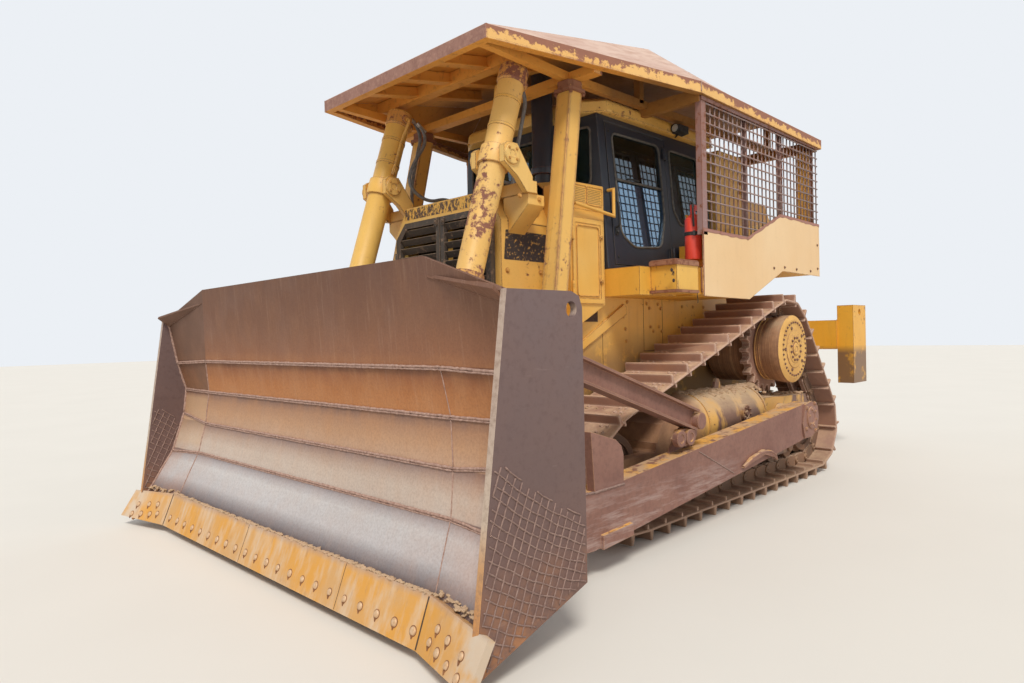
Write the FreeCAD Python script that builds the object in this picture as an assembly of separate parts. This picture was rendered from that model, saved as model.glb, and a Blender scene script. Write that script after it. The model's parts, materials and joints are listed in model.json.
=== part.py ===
"""Bulldozer with raised sprockets, a straight blade with wings, a rear ripper beam and a forestry canopy.

Millimetres. +X is forward, +Y the machine's left, +Z up, z = 0 under the grouser tips. Lengths below are
measured from the sprocket axle; every piece is moved by SHIFT_X when it is written, so that the origin
lies halfway between the blade's foremost edge and the ripper's rear.
"""
import FreeCAD, Part
import math
import os

V = FreeCAD.Vector

# Track
GAUGE = 2250.0              # between the centres of the two tracks
SHOE_WIDTH = 610.0
SHOES = 41                  # shoes on each track
TRACK_Y = GAUGE / 2
TRACK_OUT = TRACK_Y + SHOE_WIDTH / 2     # the shoes' outer ends
IDLER_REACH = (-750.0, 2720.0)   # rear and front idler axles, from the sprocket axle
IDLER_PIN_R = 360.0         # track pins' radius round an idler
SPROCKET_PIN_R = 420.0      # the same round the sprocket
SPROCKET_Z = 1364.0
PLATE_IN = 65.0             # shoe plate's inner face, outside the pin line
PLATE_OUT = 85.0
GROUSER_TIP = 155.0
RAIL_IN = 55.0              # link rail's rolling face, inside the pin line
RAIL_Y = (46.0, 96.0)       # one link rail, across the track from its centre
SPROCKET_TEETH = 22
SPROCKET_THICK = 84.0
ROLLERS = 8
ROLLER_R = 115.0
ROLLER_REACH = 420.0        # from an idler's axle to the nearest roller's
GUIDE_CLEAR = 8.0           # between an idler's guide flange and the link rails
GUIDE_RISE = 28.0
IDLER_RIM = 55.0
IDLER_DISH = 30.0
# (share of the pitch from a link's middle, out from the pin line)
SHOE_PROFILE = ((-0.485, PLATE_OUT), (-0.36, PLATE_OUT), (-0.33, GROUSER_TIP), (-0.25, GROUSER_TIP),
                (-0.19, PLATE_OUT), (0.485, PLATE_OUT))
LINK_PROFILE = ((-0.36, -RAIL_IN), (0.36, -RAIL_IN), (0.5, -12.0))
# (share of a tooth's step, out from the pin circle)
TOOTH_PROFILE = ((-0.30, -42.0), (-0.13, 18.0), (0.13, 18.0), (0.30, -42.0))

# Clearances
FIT = 0.3                   # between curved or seated faces
SLIDE = 0.5                 # round rods and pistons
GAP = 6.0                   # between a moving panel and its frame
HINGE_R = 12.0              # knuckles of the doors' hinges
HINGE_LONG = 110.0
HINGE_OUT = 20.0            # cab doors' hinge line, outside their face

# Undercarriage frame
HOUSING_R = 265.0           # recoil housing over the track frame
HOUSING_Z = 755.0
HOUSING_X = (480.0, 1650.0)
HOUSING_NOSE = 320.0
COVER_X = 945.0             # round cover on the housing's outer side
COVER_R = 82.0
# (x, z) outlines of the forks that carry the front and rear idlers
FORK_HEAD = ((1850.0, 460.0), (2280.0, 455.0), (2330.0, 620.0), (2230.0, 830.0), (1850.0, 900.0))
FORK_REAR = ((490.0, 455.0), (490.0, 905.0), (-550.0, 870.0), (-600.0, 780.0), (-640.0, 560.0),
             (-560.0, 455.0))
FORK_PAST = 110.0           # how far a fork reaches past its idler's axle
FORK_IN = RAIL_Y[1] + 12.0
IDLER_CLEAR = 45.0          # round an idler in its fork
IDLER_AXLE_R = 60.0
ROLLER_PLATE = 22.0
ROLLER_PLATE_LOW = GROUSER_TIP + RAIL_IN + 60.0
PIVOT_SHAFT = (350.0, 640.0)
PIVOT_SHAFT_R = 80.0
EQUALIZER_X = (2050.0, 2250.0)
EQUALIZER_DEPTH = 150.0
FRAME_HALF = 210.0          # half the track frame's width
DRIVE_COVER_OUT = 40.0      # how far the final drives' covers stand out past the shoes
FINAL_DRIVE_OUT = TRACK_OUT + DRIVE_COVER_OUT
DRIVE_SEAT_R = 285.0        # where a sprocket sits on its final drive
DRUM_R = 337.0
DRUM_ROOT_R = 240.0
DRUM_BOSS_R = 140.0
DRUM_DISH_R = 65.0

# Main frame and engine bay
BODY_HALF = 600.0           # half the width of case, hood and frame
BELLY_Z = 660.0
CASE_X = (-850.0, 750.0)
CASE_TOP = 1750.0
SKIRT_Y = 790.0             # outer face of the side plates beside the tracks
SKIRT_THICK = 25.0
SKIRT_LOW_REAR = 1500.0
FLOOR_Z = 2090.0            # top of the operator's platform
FLOOR_THICK = 60.0
FRAME_FRONT = 3250.0        # front end of the frame rails
RAIL_INSIDE = 430.0
RAIL_TOP = 1150.0
BELLY_THICK = 40.0
WEB_THICK = 25.0
# plates between body and side plates: (x, foot, top)
WEBS = ((640.0, SKIRT_LOW_REAR, FLOOR_Z - 50), (1600.0, 1020.0, FLOOR_Z - 50),
        (2260.0, 1020.0, FLOOR_Z - 50), (2880.0, 1020.0, RAIL_TOP - 5))
ENGINE_REAR = 1500.0
ENGINE_HALF = 330.0
ENGINE_TOP = 2350.0
GUARD_X = (2750.0, 3300.0)  # radiator guard
GUARD_HALF = 660.0
GUARD_TOP_HALF = 500.0
GUARD_SHOULDER_Z = 2430.0
GUARD_TOP_FRONT = 2665.0
GUARD_TOP_REAR = 2800.0
GUARD_BOTTOM = 950.0
GUARD_WALL = 25.0
CORE_Z = (1200.0, 2360.0)
SHOULDER_X = (3040.0, 3220.0)    # shoulders on the guard's sides that carry the lift yokes
SHOULDER_Z = (2330.0, 2520.0, 2600.0)    # root's foot, tip's foot and top
HOOD_REAR_X = 2310.0
HOOD_TOP_REAR = 2880.0
HOOD_LOW = 2100.0
HOOD_WALL = 10.0
HOOD_CHAMFER = (70.0, 60.0)      # across and down
GRILLE_Z = (1300.0, 2535.0)
GRILLE_HALF = 600.0
GRILLE_CHAMFER = 130.0
GRILLE_THICK = 45.0
GRILLE_SEAT = 40.0          # how far the guard stands in behind the doors' edges
GRILLE_SLATS = 15
GRILLE_RIM = 55.0
GRILLE_STILE = 45.0         # where the two doors meet
SIDE_BOX_X = (2310.0, 2750.0)
SIDE_BOX_OUT = 865.0
SHOULDER_OUT = SIDE_BOX_OUT + 5.0    # the shoulders end in line with the side boxes
SIDE_BOX_Z = (1500.0, 2770.0)
SIDE_BOX_RISE = 290.0       # how far its bottom climbs towards the rear
SIDE_BOX_WALL = 12.0
ENGINE_DOOR_X = (2340.0, 2730.0)
ENGINE_DOOR_Z = (1800.0, 2480.0)
ENGINE_DOOR_THICK = 15.0
STACK_INSET = 180.0         # of the exhaust stack, from the hood's side
STACK_AT = (2550.0, BODY_HALF - STACK_INSET)
STACK_R = 90.0
STACK_FOOT_R = STACK_R - 20.0
STACK_TOP = 3735.0

# Cab
CAB_X = (550.0, 2300.0)
CAB_HALF_LOW = 900.0
CAB_HALF_HIGH = 800.0
CAB_TOP = 3400.0
CAB_WALL = 60.0
CAB_FLOOR = 25.0
CAB_ROOF_RISE = 140.0
CAB_EAVES = (60.0, 130.0, 70.0)  # roof's overhang behind, in front and beside
CAB_ROOF_CORNER = (190.0, 230.0)
DOOR_X = (1300.0, 2200.0)
DOOR_Z = (2130.0, 3350.0)
DOOR_THICK = 40.0
DOOR_LIP = 20.0             # how far the frame stands in behind the door
GLASS_INSET = 17.0
GLASS_THICK = 6.0
SEAT_X = 1100.0             # rear of the seat cushion
SEAT_HALF = 260.0
SEAT_BASE = 330.0           # heights over the floor
SEAT_BACK = 660.0           # over the base
CUSHION_THICK = 140.0
CONSOLE_OUT = 480.0
CONSOLE_TOP = 610.0

# Canopy
ROOF_FRONT = (3750.0, 1020.0, 3630.0)
ROOF_MID = (1780.0, 1470.0, 3500.0)
ROOF_BREAK = (1850.0, 1020.0, 3980.0)
ROOF_REAR = (-725.0, 1470.0, 3500.0)
ROOF_REAR_TOP = (-725.0, 1020.0, 3870.0)
ROOF_SHEET = 12.0
FASCIA = 100.0
POST = 140.0
POST_TOP = (2757.0, 907.0, 3500.0)
POST_FOOT = (3175.0, 1014.0, 1400.0)
GUARD_SIDE_Y = 1450.0       # outer face of the mesh guards and side panels
MESH_X = (-700.0, 1750.0)
MESH_PITCH = 95.0
MESH_BAR = 12.0
MESH_TOP = 3440.0
MESH_CAP = 20.0
PANEL_THICK = 8.0
FENDER_SHELF_Z = 2085.0     # top of the fender where the open cab door passes over it
FENDER_X = (930.0, 1750.0)
FENDER_LOW = 1860.0
FENDER_TOP = 2610.0
STEP_X = (1815.0, 2140.0)
STEP_IN = 1200.0
STEP_RISE = 40.0            # of the step pocket's rim over the platform
TANK_X = (-720.0, 480.0)
TANK_Z = (1750.0, 2950.0)
TANK_STEP_Z = 2100.0        # below this the tank is as wide as the case
EXTINGUISHER_AT = (1640.0, 1300.0)
EXTINGUISHER_R = 70.0
EXTINGUISHER_TOP = 2600.0
RAIL_R = 14.0               # of handrails

# Blade, from the machine's front: (x, z) down the board's face at the folds and at the end plates
FOLD_FACE = ((4672.0, 1985.0), (4625.0, 1400.0), (4589.0, 1140.0), (4610.0, 876.0), (4661.0, 630.0),
             (4812.0, 285.0))
WING_FACE = ((4716.0, 1767.0), (4640.0, 1380.0), (4571.0, 1142.0), (4594.0, 930.0), (4700.0, 603.0),
             (4918.0, 259.0))
FOLD_TOP_Y = 1460.0
FOLD_LEAN = 0.135           # how far the fold moves out for each unit down
END_PLATE_Y = 2130.0
END_PLATE_THICK = 40.0
BOARD_THICK = 30.0
EDGE_BOTTOM = 50.0
BLADE_FRONT = 5100.0
EDGE_HALF = 1700.0          # half the length of the straight cutting edge
EDGE_SECTION = ((4812.0, 292.0), (4850.0, 305.0), (4945.0, EDGE_BOTTOM + 12), (4905.0, EDGE_BOTTOM))
END_BIT_Y = 2240.0
LIFTING_EYE = (4305.0, 1680.0)
LIFTING_EYE_R = 40.0
UPPER_BEAM_REAR = 4420.0
RIB_Y = 1300.0

# Push arms and braces
ARM_PIVOT = (110.0, 700.0)
ARM_CLEAR = 60.0            # between the shoes' outer ends and the arm
ARM_WIDTH = 160.0
ARM_Y = (TRACK_OUT + ARM_CLEAR, TRACK_OUT + ARM_CLEAR + ARM_WIDTH)
TRUNNION_R = 70.0
BEAM_REAR_X = 4300.0        # rear face of the blade's lower beam
BRACE_WIDTH = 110.0
BRACE_Y = (ARM_Y[1] - BRACE_WIDTH, ARM_Y[1])
BRACE_REAR = (2213.0, 887.0)
BRACE_SLOPE = 0.332
BRACE_DEPTH = 160.0
BRACE_FLANGE = 18.0
BRACE_WEB = 18.0

# Lift cylinders
LIFT_Y = 717.0
LIFT_TRUNNION = (3403.0, 2850.0)
LIFT_EYE = (4042.0, 850.0)
LIFT_ABOVE = 735.0
LIFT_BELOW = 960.0
BARREL_R = 100.0
BORE_R = 80.0
ROD_R = 45.0
EYE_R = 85.0
EYE_HALF = 50.0
EYE_BORE_R = 50.0
CHEEK = 35.0
GLAND = 60.0
END_CAP = 45.0
YOKE_HALF = 175.0
YOKE_PIN_R = 45.0
PISTON_AT = 340.0           # from the trunnion, at rest
PISTON_LONG = 70.0

# Ripper
RIPPER_REAR = -2990.0
RIPPER_PIN_R = 38.0
LOWER_PIN = (-1050.0, 950.0)
UPPER_PIN = (-1050.0, 1650.0)
LINK_RUN = (-1370.0, 270.0)      # from a link's front pin to its rear pin
RIPPER_BEAM_X = (-2960.0, -2500.0)
RIPPER_BEAM_Z = (1290.0, 1670.0)
POCKET_OUT = 1160.0
POCKET_WIDTH = 200.0
POCKET_DEPTH = 460.0
SLOT_WALL = 60.0            # behind the shank's slot
SHANK_PIN_R = 38.0
SHANK_PIN_AT = (230.0, 1770.0)   # forward of the ripper's rear, and above the ground
POCKET_Z = (850.0, 1860.0)
POCKET_MID_LOW = 1080.0     # foot of the middle pocket
SHANK_SLOT = (340.0, 90.0)
LOWER_ARM_Y = 540.0
TILT_Y = 330.0
RIPPER_LIFT_Y = 200.0
EAR_NEAR = (48.0, -78.0)         # near faces of a pin's two ears, from its arm's middle
EAR = 30.0
PIN_HALF = 60.0
LINK_WIDTH = 90.0
RIPPER_BORE_R = 66.0
RIPPER_ROD_R = 35.0
RIPPER_BARREL_PIN = (-980.0, 1560.0)
RIPPER_PISTON_AT = 300.0    # from the barrel's pin, with the ripper raised
ROD_PIN_SHARE = 0.80        # of the lower arms' run, where the cross tube lies
ROD_PIN_RISE = 150.0

IDLER_Z = GROUSER_TIP + IDLER_PIN_R
SHIFT_X = -(BLADE_FRONT + RIPPER_REAR) / 2


def box(x, y, z):
    """A block between pairs of limits on each axis."""
    return Part.makeBox(x[1] - x[0], y[1] - y[0], z[1] - z[0], V(x[0], y[0], z[0]))


def face_of(points):
    return Part.Face(Part.makePolygon(points + [points[0]]))


def slab_xz(points, y):
    """An outline of (x, z) points, as thick as the pair y."""
    return face_of([V(px, y[0], pz) for px, pz in points]).extrude(V(0, y[1] - y[0], 0))


def slab_xy(points, z):
    return face_of([V(px, py, z[0]) for px, py in points]).extrude(V(0, 0, z[1] - z[0]))


def slab_yz(points, x):
    return face_of([V(x[0], py, pz) for py, pz in points]).extrude(V(x[1] - x[0], 0, 0))


def rod(a, b, r):
    a = V(*a)
    b = V(*b)
    return Part.makeCylinder(r, (b - a).Length, a, b - a)


def across(x, z, y0, y1, r):
    """A round bar along Y."""
    return rod((x, y0, z), (x, y1, z), r)


def turned(profile, centre):
    """A solid of revolution about a line along Y; profile is (y, r) points, closed on the axis."""
    points = [V(centre[0], y, centre[1] + r) for y, r in profile]
    points = [V(centre[0], profile[0][0], centre[1])] + points + [V(centre[0], profile[-1][0], centre[1])]
    return face_of(points).revolve(V(centre[0], 0, centre[1]), V(0, 1, 0), 360)


def beam(a, b, outline, up=V(0, 0, 1)):
    """An outline of (across, up) points swept straight from a to b."""
    a = V(*a)
    b = V(*b)
    along = (b - a).normalize()
    side = up.cross(along).normalize()
    shape = face_of([V(0, s, t) for s, t in outline]).extrude(V((b - a).Length, 0, 0))
    shape.Placement = FreeCAD.Placement(a, FreeCAD.Rotation(along, side, along.cross(side), "XZY"))
    return shape


def rectangle(width, height):
    w = width / 2
    h = height / 2
    return [(-w, -h), (w, -h), (w, h), (-w, h)]


def union(shapes):
    shapes = list(shapes)
    return shapes[0].multiFuse(shapes[1:]).removeSplitter()


def mirrored(shape):
    return shape.mirror(V(0, 0, 0), V(0, 1, 0))


def pair(shape):
    """The piece and its mirror image, as one node's two solids."""
    return [shape, mirrored(shape)]


def lofted(sections):
    wires = [Part.makePolygon([V(*p) for p in points] + [V(*points[0])]) for points in sections]
    return Part.makeLoft(wires, True, True)


def save(name, shapes):
    """Write one node, moved so that the origin lies under the machine's middle."""
    shapes = shapes if isinstance(shapes, list) else [shapes]
    solids = [s for shape in shapes for s in shape.Solids]
    node = solids[0] if len(solids) == 1 else Part.makeCompound(solids)
    node = node.copy()
    node.translate(V(SHIFT_X, 0, 0))
    for solid in node.Solids:
        if not solid.isValid() or solid.Volume <= 0:
            print("not a good solid:", name)
    node.exportStep("parts/" + name + ".step")


# Track loop


def tangent_points(a, ra, b, rb):
    """Where the outer tangent on the left of the way from circle a to circle b touches both."""
    dx = b[0] - a[0]
    dz = b[1] - a[1]
    length = math.hypot(dx, dz)
    lean = math.atan2(dz, dx) + math.pi / 2 + math.asin((rb - ra) / length) * -1
    turn = (math.cos(lean), math.sin(lean))
    return ((a[0] + ra * turn[0], a[1] + ra * turn[1]), (b[0] + rb * turn[0], b[1] + rb * turn[1]))


WHEELS = (((IDLER_REACH[0], IDLER_Z), IDLER_PIN_R),
          ((0.0, SPROCKET_Z), SPROCKET_PIN_R),
          ((IDLER_REACH[1], IDLER_Z), IDLER_PIN_R))


def loop_spans():
    """Straight runs and arcs of the pin line, clockwise seen from the left: (kind, data, length)."""
    runs = []
    for i, (centre, radius) in enumerate(WHEELS):
        nxt, next_r = WHEELS[(i + 1) % len(WHEELS)]
        runs.append(tangent_points(centre, radius, nxt, next_r))
    spans = []
    for i, (start, end) in enumerate(runs):
        spans.append(("run", (start, end), math.dist(start, end)))
        centre, radius = WHEELS[(i + 1) % len(WHEELS)]
        leave = runs[(i + 1) % len(WHEELS)][0]
        first = math.atan2(end[1] - centre[1], end[0] - centre[0])
        last = math.atan2(leave[1] - centre[1], leave[0] - centre[0])
        sweep = (first - last) % (2 * math.pi)
        spans.append(("arc", (centre, radius, first), radius * sweep))
    return spans


def loop_point(spans, s):
    """The pin line's point at distance s along it."""
    s = s % sum(span[2] for span in spans)
    for kind, data, length in spans:
        if s <= length:
            if kind == "run":
                (x0, z0), (x1, z1) = data
                k = s / length
                return (x0 + (x1 - x0) * k, z0 + (z1 - z0) * k)
            centre, radius, first = data
            angle = first - s / radius
            return (centre[0] + radius * math.cos(angle), centre[1] + radius * math.sin(angle))
        s -= length
    return loop_point(spans, 0.0)


def chain_outline(pins, profile):
    """Closed outline that repeats profile, (along, out) points from a link's middle, on every link."""
    points = []
    for i, pin in enumerate(pins):
        nxt = pins[(i + 1) % len(pins)]
        length = math.dist(pin, nxt)
        ux = (nxt[0] - pin[0]) / length
        uz = (nxt[1] - pin[1]) / length
        mx = (pin[0] + nxt[0]) / 2
        mz = (pin[1] + nxt[1]) / 2
        for along, out in profile:
            points.append((mx + ux * along - uz * out, mz + uz * along + ux * out))
    return points


def pin_offsets(pins, out):
    """The pins pushed outwards, one point at each."""
    points = []
    for i, pin in enumerate(pins):
        before = pins[i - 1]
        after = pins[(i + 1) % len(pins)]
        length = math.dist(before, after)
        ux = (after[0] - before[0]) / length
        uz = (after[1] - before[1]) / length
        points.append((pin[0] - uz * out, pin[1] + ux * out))
    return points


def track_pins():
    spans = loop_spans()
    pitch = sum(span[2] for span in spans) / SHOES
    return pitch, [loop_point(spans, pitch * (i + 0.5)) for i in range(SHOES)]


def track():
    """Shoes with their grousers in one ring, on two rings of link rails."""
    pitch, pins = track_pins()
    shoe = [(share * pitch, out) for share, out in SHOE_PROFILE]
    link = [(share * pitch, out) for share, out in LINK_PROFILE]
    inner = pin_offsets(pins, PLATE_IN)
    half = SHOE_WIDTH / 2
    span = (TRACK_Y - half, TRACK_Y + half)
    ring = slab_xz(chain_outline(pins, shoe), span).cut(slab_xz(inner, span))
    pieces = [ring]
    for side in (-1, 1):
        edges = sorted(TRACK_Y + side * e for e in RAIL_Y)
        pieces.append(slab_xz(inner, edges).cut(slab_xz(chain_outline(pins, link), edges)))
    return union(pieces)


def sprocket():
    """A toothed wheel between the link rails, seated on the final drive."""
    points = []
    step = 2 * math.pi / SPROCKET_TEETH
    for i in range(SPROCKET_TEETH):
        for share, height in TOOTH_PROFILE:
            angle = (i + share) * step
            radius = SPROCKET_PIN_R + height
            points.append((radius * math.cos(angle), SPROCKET_Z + radius * math.sin(angle)))
    ends = (TRACK_Y - SPROCKET_THICK / 2, TRACK_Y + SPROCKET_THICK / 2)
    seat = rod((0, ends[0], SPROCKET_Z), (0, ends[1], SPROCKET_Z), DRIVE_SEAT_R + FIT)
    return slab_xz(points, ends).cut(seat)


def final_drive():
    """Drum that carries the sprocket, from the case out to the bolted cover."""
    inner = TRACK_Y - SPROCKET_THICK / 2
    outer = TRACK_Y + SPROCKET_THICK / 2
    out = FINAL_DRIVE_OUT
    neck = DRUM_R - 7
    profile = [(BODY_HALF, DRUM_ROOT_R), (BODY_HALF + 80, neck), (inner, neck), (inner, DRIVE_SEAT_R),
               (outer, DRIVE_SEAT_R), (outer, DRIVE_SEAT_R + 15), (out - 110, DRUM_R), (out - 30, DRUM_R),
               (out - 12, DRUM_R - 45), (out - 12, DRUM_BOSS_R + 10), (out, DRUM_BOSS_R),
               (out, DRUM_DISH_R + 10), (out - 18, DRUM_DISH_R)]
    return turned(profile, (0.0, SPROCKET_Z))


def idler(x):
    """Wheel whose guide flange runs between the rails, dished on its outer side."""
    pitch = track_pins()[0]
    rim = math.sqrt(IDLER_PIN_R ** 2 - (pitch / 2) ** 2) - RAIL_IN - FIT
    edge = RAIL_Y[1]
    guide = RAIL_Y[0] - GUIDE_CLEAR
    flange = rim + GUIDE_RISE
    web = rim - IDLER_RIM
    profile = [(-edge, rim), (-guide, rim), (-guide, flange), (guide, flange), (guide, rim), (edge, rim),
               (edge, web), (edge - IDLER_DISH, web)]
    profile = [(TRACK_Y + y, r) for y, r in profile]
    return turned(profile, (x, IDLER_Z))


def rollers():
    """Bottom rollers, each a plain barrel between the rails' width, evenly spaced between the idlers."""
    z = GROUSER_TIP + RAIL_IN + FIT + ROLLER_R
    first = IDLER_REACH[0] + ROLLER_REACH
    step = (IDLER_REACH[1] - ROLLER_REACH - first) / (ROLLERS - 1)
    out = []
    for i in range(ROLLERS):
        x = first + i * step
        out.append(rod((x, TRACK_Y - RAIL_Y[1], z), (x, TRACK_Y + RAIL_Y[1], z), ROLLER_R))
    return out


def track_frame():
    """Roller frame with its forks, and the recoil housing that lies along its top."""
    side = (TRACK_Y - FRAME_HALF, TRACK_Y + FRAME_HALF)
    axis_a = (HOUSING_X[0], TRACK_Y, HOUSING_Z)
    axis_b = (HOUSING_X[1], TRACK_Y, HOUSING_Z)
    housing = rod(axis_a, axis_b, HOUSING_R)
    nose = Part.makeCone(HOUSING_R, HOUSING_R * 0.7, HOUSING_NOSE, V(*axis_b), V(1, 0, 0))
    roller_top = GROUSER_TIP + RAIL_IN + 2 * ROLLER_R + 20.0
    rear_x, front_x = IDLER_REACH
    deck = box((rear_x + ROLLER_REACH, front_x - 400), side, (roller_top, HOUSING_Z - 60))
    fork_front = box((FORK_HEAD[1][0], front_x + FORK_PAST), side, (IDLER_Z - 60, IDLER_Z + 110))
    rear_hub = box((rear_x - FORK_PAST, -400), side, (IDLER_Z - 90, IDLER_Z + 90))
    forks = [fork_front, slab_xz(FORK_HEAD, side), slab_xz(FORK_REAR, side), rear_hub]
    body = union([housing, nose, deck] + forks)
    clear_r = IDLER_PIN_R - RAIL_IN + IDLER_CLEAR
    for x in IDLER_REACH:
        body = body.cut(across(x, IDLER_Z, TRACK_Y - FORK_IN, TRACK_Y + FORK_IN, clear_r))
    plates = []
    for sign in (-1, 1):
        inner = TRACK_Y + sign * (RAIL_Y[1] + FIT)
        outer = TRACK_Y + sign * (RAIL_Y[1] + ROLLER_PLATE)
        plates.append(box((rear_x + ROLLER_REACH + 50, front_x - ROLLER_REACH - 50), sorted((inner, outer)),
                          (ROLLER_PLATE_LOW, roller_top + 10)))
    cover_y = TRACK_Y + HOUSING_R
    cover = across(COVER_X, HOUSING_Z + 50, cover_y - 40, cover_y + 12, COVER_R)
    px, pz = ARM_PIVOT
    root = TRACK_Y + FRAME_HALF - 20
    trunnion = across(px, pz, root, ARM_Y[1] - 20, TRUNNION_R)
    collar = across(px, pz, root, ARM_Y[0] - GAP, TRUNNION_R + 50)
    axles = []
    for x in IDLER_REACH:
        for sign in (-1, 1):
            near = TRACK_Y + sign * (RAIL_Y[1] + FIT)
            far = TRACK_Y + sign * (FRAME_HALF - 5)
            axles.append(across(x, IDLER_Z, near, far, IDLER_AXLE_R))
    return union([body, cover, trunnion, collar] + plates + axles)


def cross_shafts():
    """Pivot shafts from the case to the track frames, and the equalizer bar under the frame's front."""
    inner = TRACK_Y - FRAME_HALF
    stub = across(PIVOT_SHAFT[0], PIVOT_SHAFT[1], BODY_HALF, inner, PIVOT_SHAFT_R)
    bar = box(EQUALIZER_X, (-inner, inner), (BELLY_Z - EQUALIZER_DEPTH, BELLY_Z))
    return pair(stub) + [bar]


def main_frame():
    """Case, frame rails, belly guard, side plates and the platform under the cab."""
    half = (-BODY_HALF, BODY_HALF)
    front = (CASE_X[1] - 10, FRAME_FRONT)
    deck_low = FLOOR_Z - FLOOR_THICK
    pieces = [box(CASE_X, half, (BELLY_Z, CASE_TOP)),
              box(front, half, (BELLY_Z, BELLY_Z + BELLY_THICK)),
              box((front[0], CAB_X[1] - 100), half, (CASE_TOP - 250, deck_low)),
              box(CAB_X, (-SKIRT_Y, SKIRT_Y), (deck_low, FLOOR_Z))]
    skirt_outline = [(CAB_X[0] + 50, SKIRT_LOW_REAR), (950, 1240), (2850, 900), (2950, 1000), (2950, 1460),
                     (SIDE_BOX_X[0], SIDE_BOX_Z[0] + SIDE_BOX_RISE - 10), (CAB_X[1] - 10, FLOOR_Z),
                     (CAB_X[0] + 50, FLOOR_Z)]
    for sign in (-1, 1):
        rail = sorted((sign * RAIL_INSIDE, sign * BODY_HALF))
        pieces.append(box(front, rail, (BELLY_Z, RAIL_TOP)))
        pieces.append(slab_xz(skirt_outline, sorted((sign * (SKIRT_Y - SKIRT_THICK), sign * SKIRT_Y))))
        web = sorted((sign * (BODY_HALF - 5), sign * (SKIRT_Y - 20)))
        for x, low, top in WEBS:
            pieces.append(box((x, x + WEB_THICK), web, (low, top)))
    return union(pieces)


def engine_block():
    """The engine's mass as one plain block between the frame rails, higher in front of the cab."""
    front = GUARD_X[0] - 10
    half = (-ENGINE_HALF, ENGINE_HALF)
    foot = BELLY_Z + BELLY_THICK
    low = box((ENGINE_REAR, front), half, (foot, CASE_TOP - 250))
    high = box((HOOD_REAR_X + 20, front), half, (foot, ENGINE_TOP))
    return union([low, high])


# Radiator guard and hood


def guard_section(x, top, inset, bottom):
    half = GUARD_HALF - inset
    top_half = GUARD_TOP_HALF - inset * 0.6
    shoulder = GUARD_SHOULDER_Z - inset * 0.4
    return [(x, -half, bottom), (x, half, bottom), (x, half, shoulder), (x, top_half, top - inset),
            (x, -top_half, top - inset), (x, -half, shoulder)]


def grille_outline(sign, inset):
    """Half of the grille opening, chamfered at its outer top corner, as (y, z)."""
    outer = GRILLE_HALF - inset
    top = GRILLE_Z[1] - inset
    inner = inset if inset else 0.0
    points = [(inner, GRILLE_Z[0] + inset), (outer, GRILLE_Z[0] + inset), (outer, top - GRILLE_CHAMFER),
              (outer - GRILLE_CHAMFER, top), (inner, top)]
    return [(sign * y, z) for y, z in points]


def guard_block():
    return lofted([guard_section(GUARD_X[0], GUARD_TOP_REAR, 0.0, GUARD_BOTTOM),
                   guard_section(GUARD_X[1], GUARD_TOP_FRONT, 0.0, GUARD_BOTTOM)])


def radiator_guard():
    """Box guard round the radiator, open in front for the grille doors, with the lift yokes' shoulders."""
    outer = guard_block()
    inner = lofted([guard_section(GUARD_X[0] - 1, GUARD_TOP_REAR, GUARD_WALL, GUARD_BOTTOM - 1),
                    guard_section(GUARD_X[1] - 60, GUARD_TOP_FRONT + 12, GUARD_WALL, GUARD_BOTTOM - 1)])
    shell = outer.cut(inner)
    depth = (GUARD_X[1] - 80, GUARD_X[1] + 10)
    mouth = [slab_yz(grille_outline(sign, GRILLE_SEAT), depth) for sign in (-1, 1)]
    shell = shell.cut(union(mouth))
    rails = box((GUARD_X[0] - 5, FRAME_FRONT + 10), (-GUARD_HALF - 5, GUARD_HALF + 5), (0, RAIL_TOP + 1))
    shell = shell.cut(rails)
    shoulders = []
    foot, tip, top = SHOULDER_Z
    root = GUARD_HALF - 2 * GUARD_WALL
    for sign in (-1, 1):
        points = [(sign * root, foot), (sign * (GUARD_HALF - 2), foot), (sign * SHOULDER_OUT, tip),
                  (sign * SHOULDER_OUT, top), (sign * root, top)]
        shoulders.append(slab_yz(points, SHOULDER_X))
    return union([shell] + shoulders).cut(inner)


def radiator_core():
    half = GUARD_HALF - GUARD_WALL - FIT
    return box((GUARD_X[0] + 120, GUARD_X[0] + 330), (-half, half), CORE_Z)


def grille_door(sign):
    """One hinged half of the grille: a frame with slats, flush with the guard's face."""
    outline = grille_outline(sign, GAP)
    x = (GUARD_X[1], GUARD_X[1] + GRILLE_THICK)
    panel = slab_yz(outline, x)
    low, top = GRILLE_Z[0] + GRILLE_RIM, GRILLE_Z[1] - GRILLE_RIM
    near, far = GAP + GRILLE_STILE, GRILLE_HALF - GAP - GRILLE_RIM
    bend = GRILLE_CHAMFER + 30
    inner = [(sign * y, z) for y, z in ((near, low), (far, low), (far, GRILLE_Z[1] - bend),
                                        (GRILLE_HALF - bend, top), (near, top))]
    frame = panel.cut(slab_yz(inner, (x[0] - 1, x[1] + 1)))
    slats = []
    pitch = (top - low) / GRILLE_SLATS
    span = sorted((sign * (near - 5), sign * (far + 5)))
    for i in range(GRILLE_SLATS):
        z = low + (i + 0.5) * pitch
        blade = [(x[0] + 4, z - 24), (x[0] + 10, z - 26), (x[1] - 4, z + 22), (x[1] - 10, z + 26)]
        slats.append(slab_xz(blade, span))
    grid = union(slats).common(panel)
    hinge_y = sign * (GRILLE_HALF - GAP)
    feet = (GRILLE_Z[0] + 120, GRILLE_Z[1] - GRILLE_CHAMFER - 120 - HINGE_LONG)
    return union([frame, grid] + knuckles(x[1], hinge_y, feet))


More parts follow.
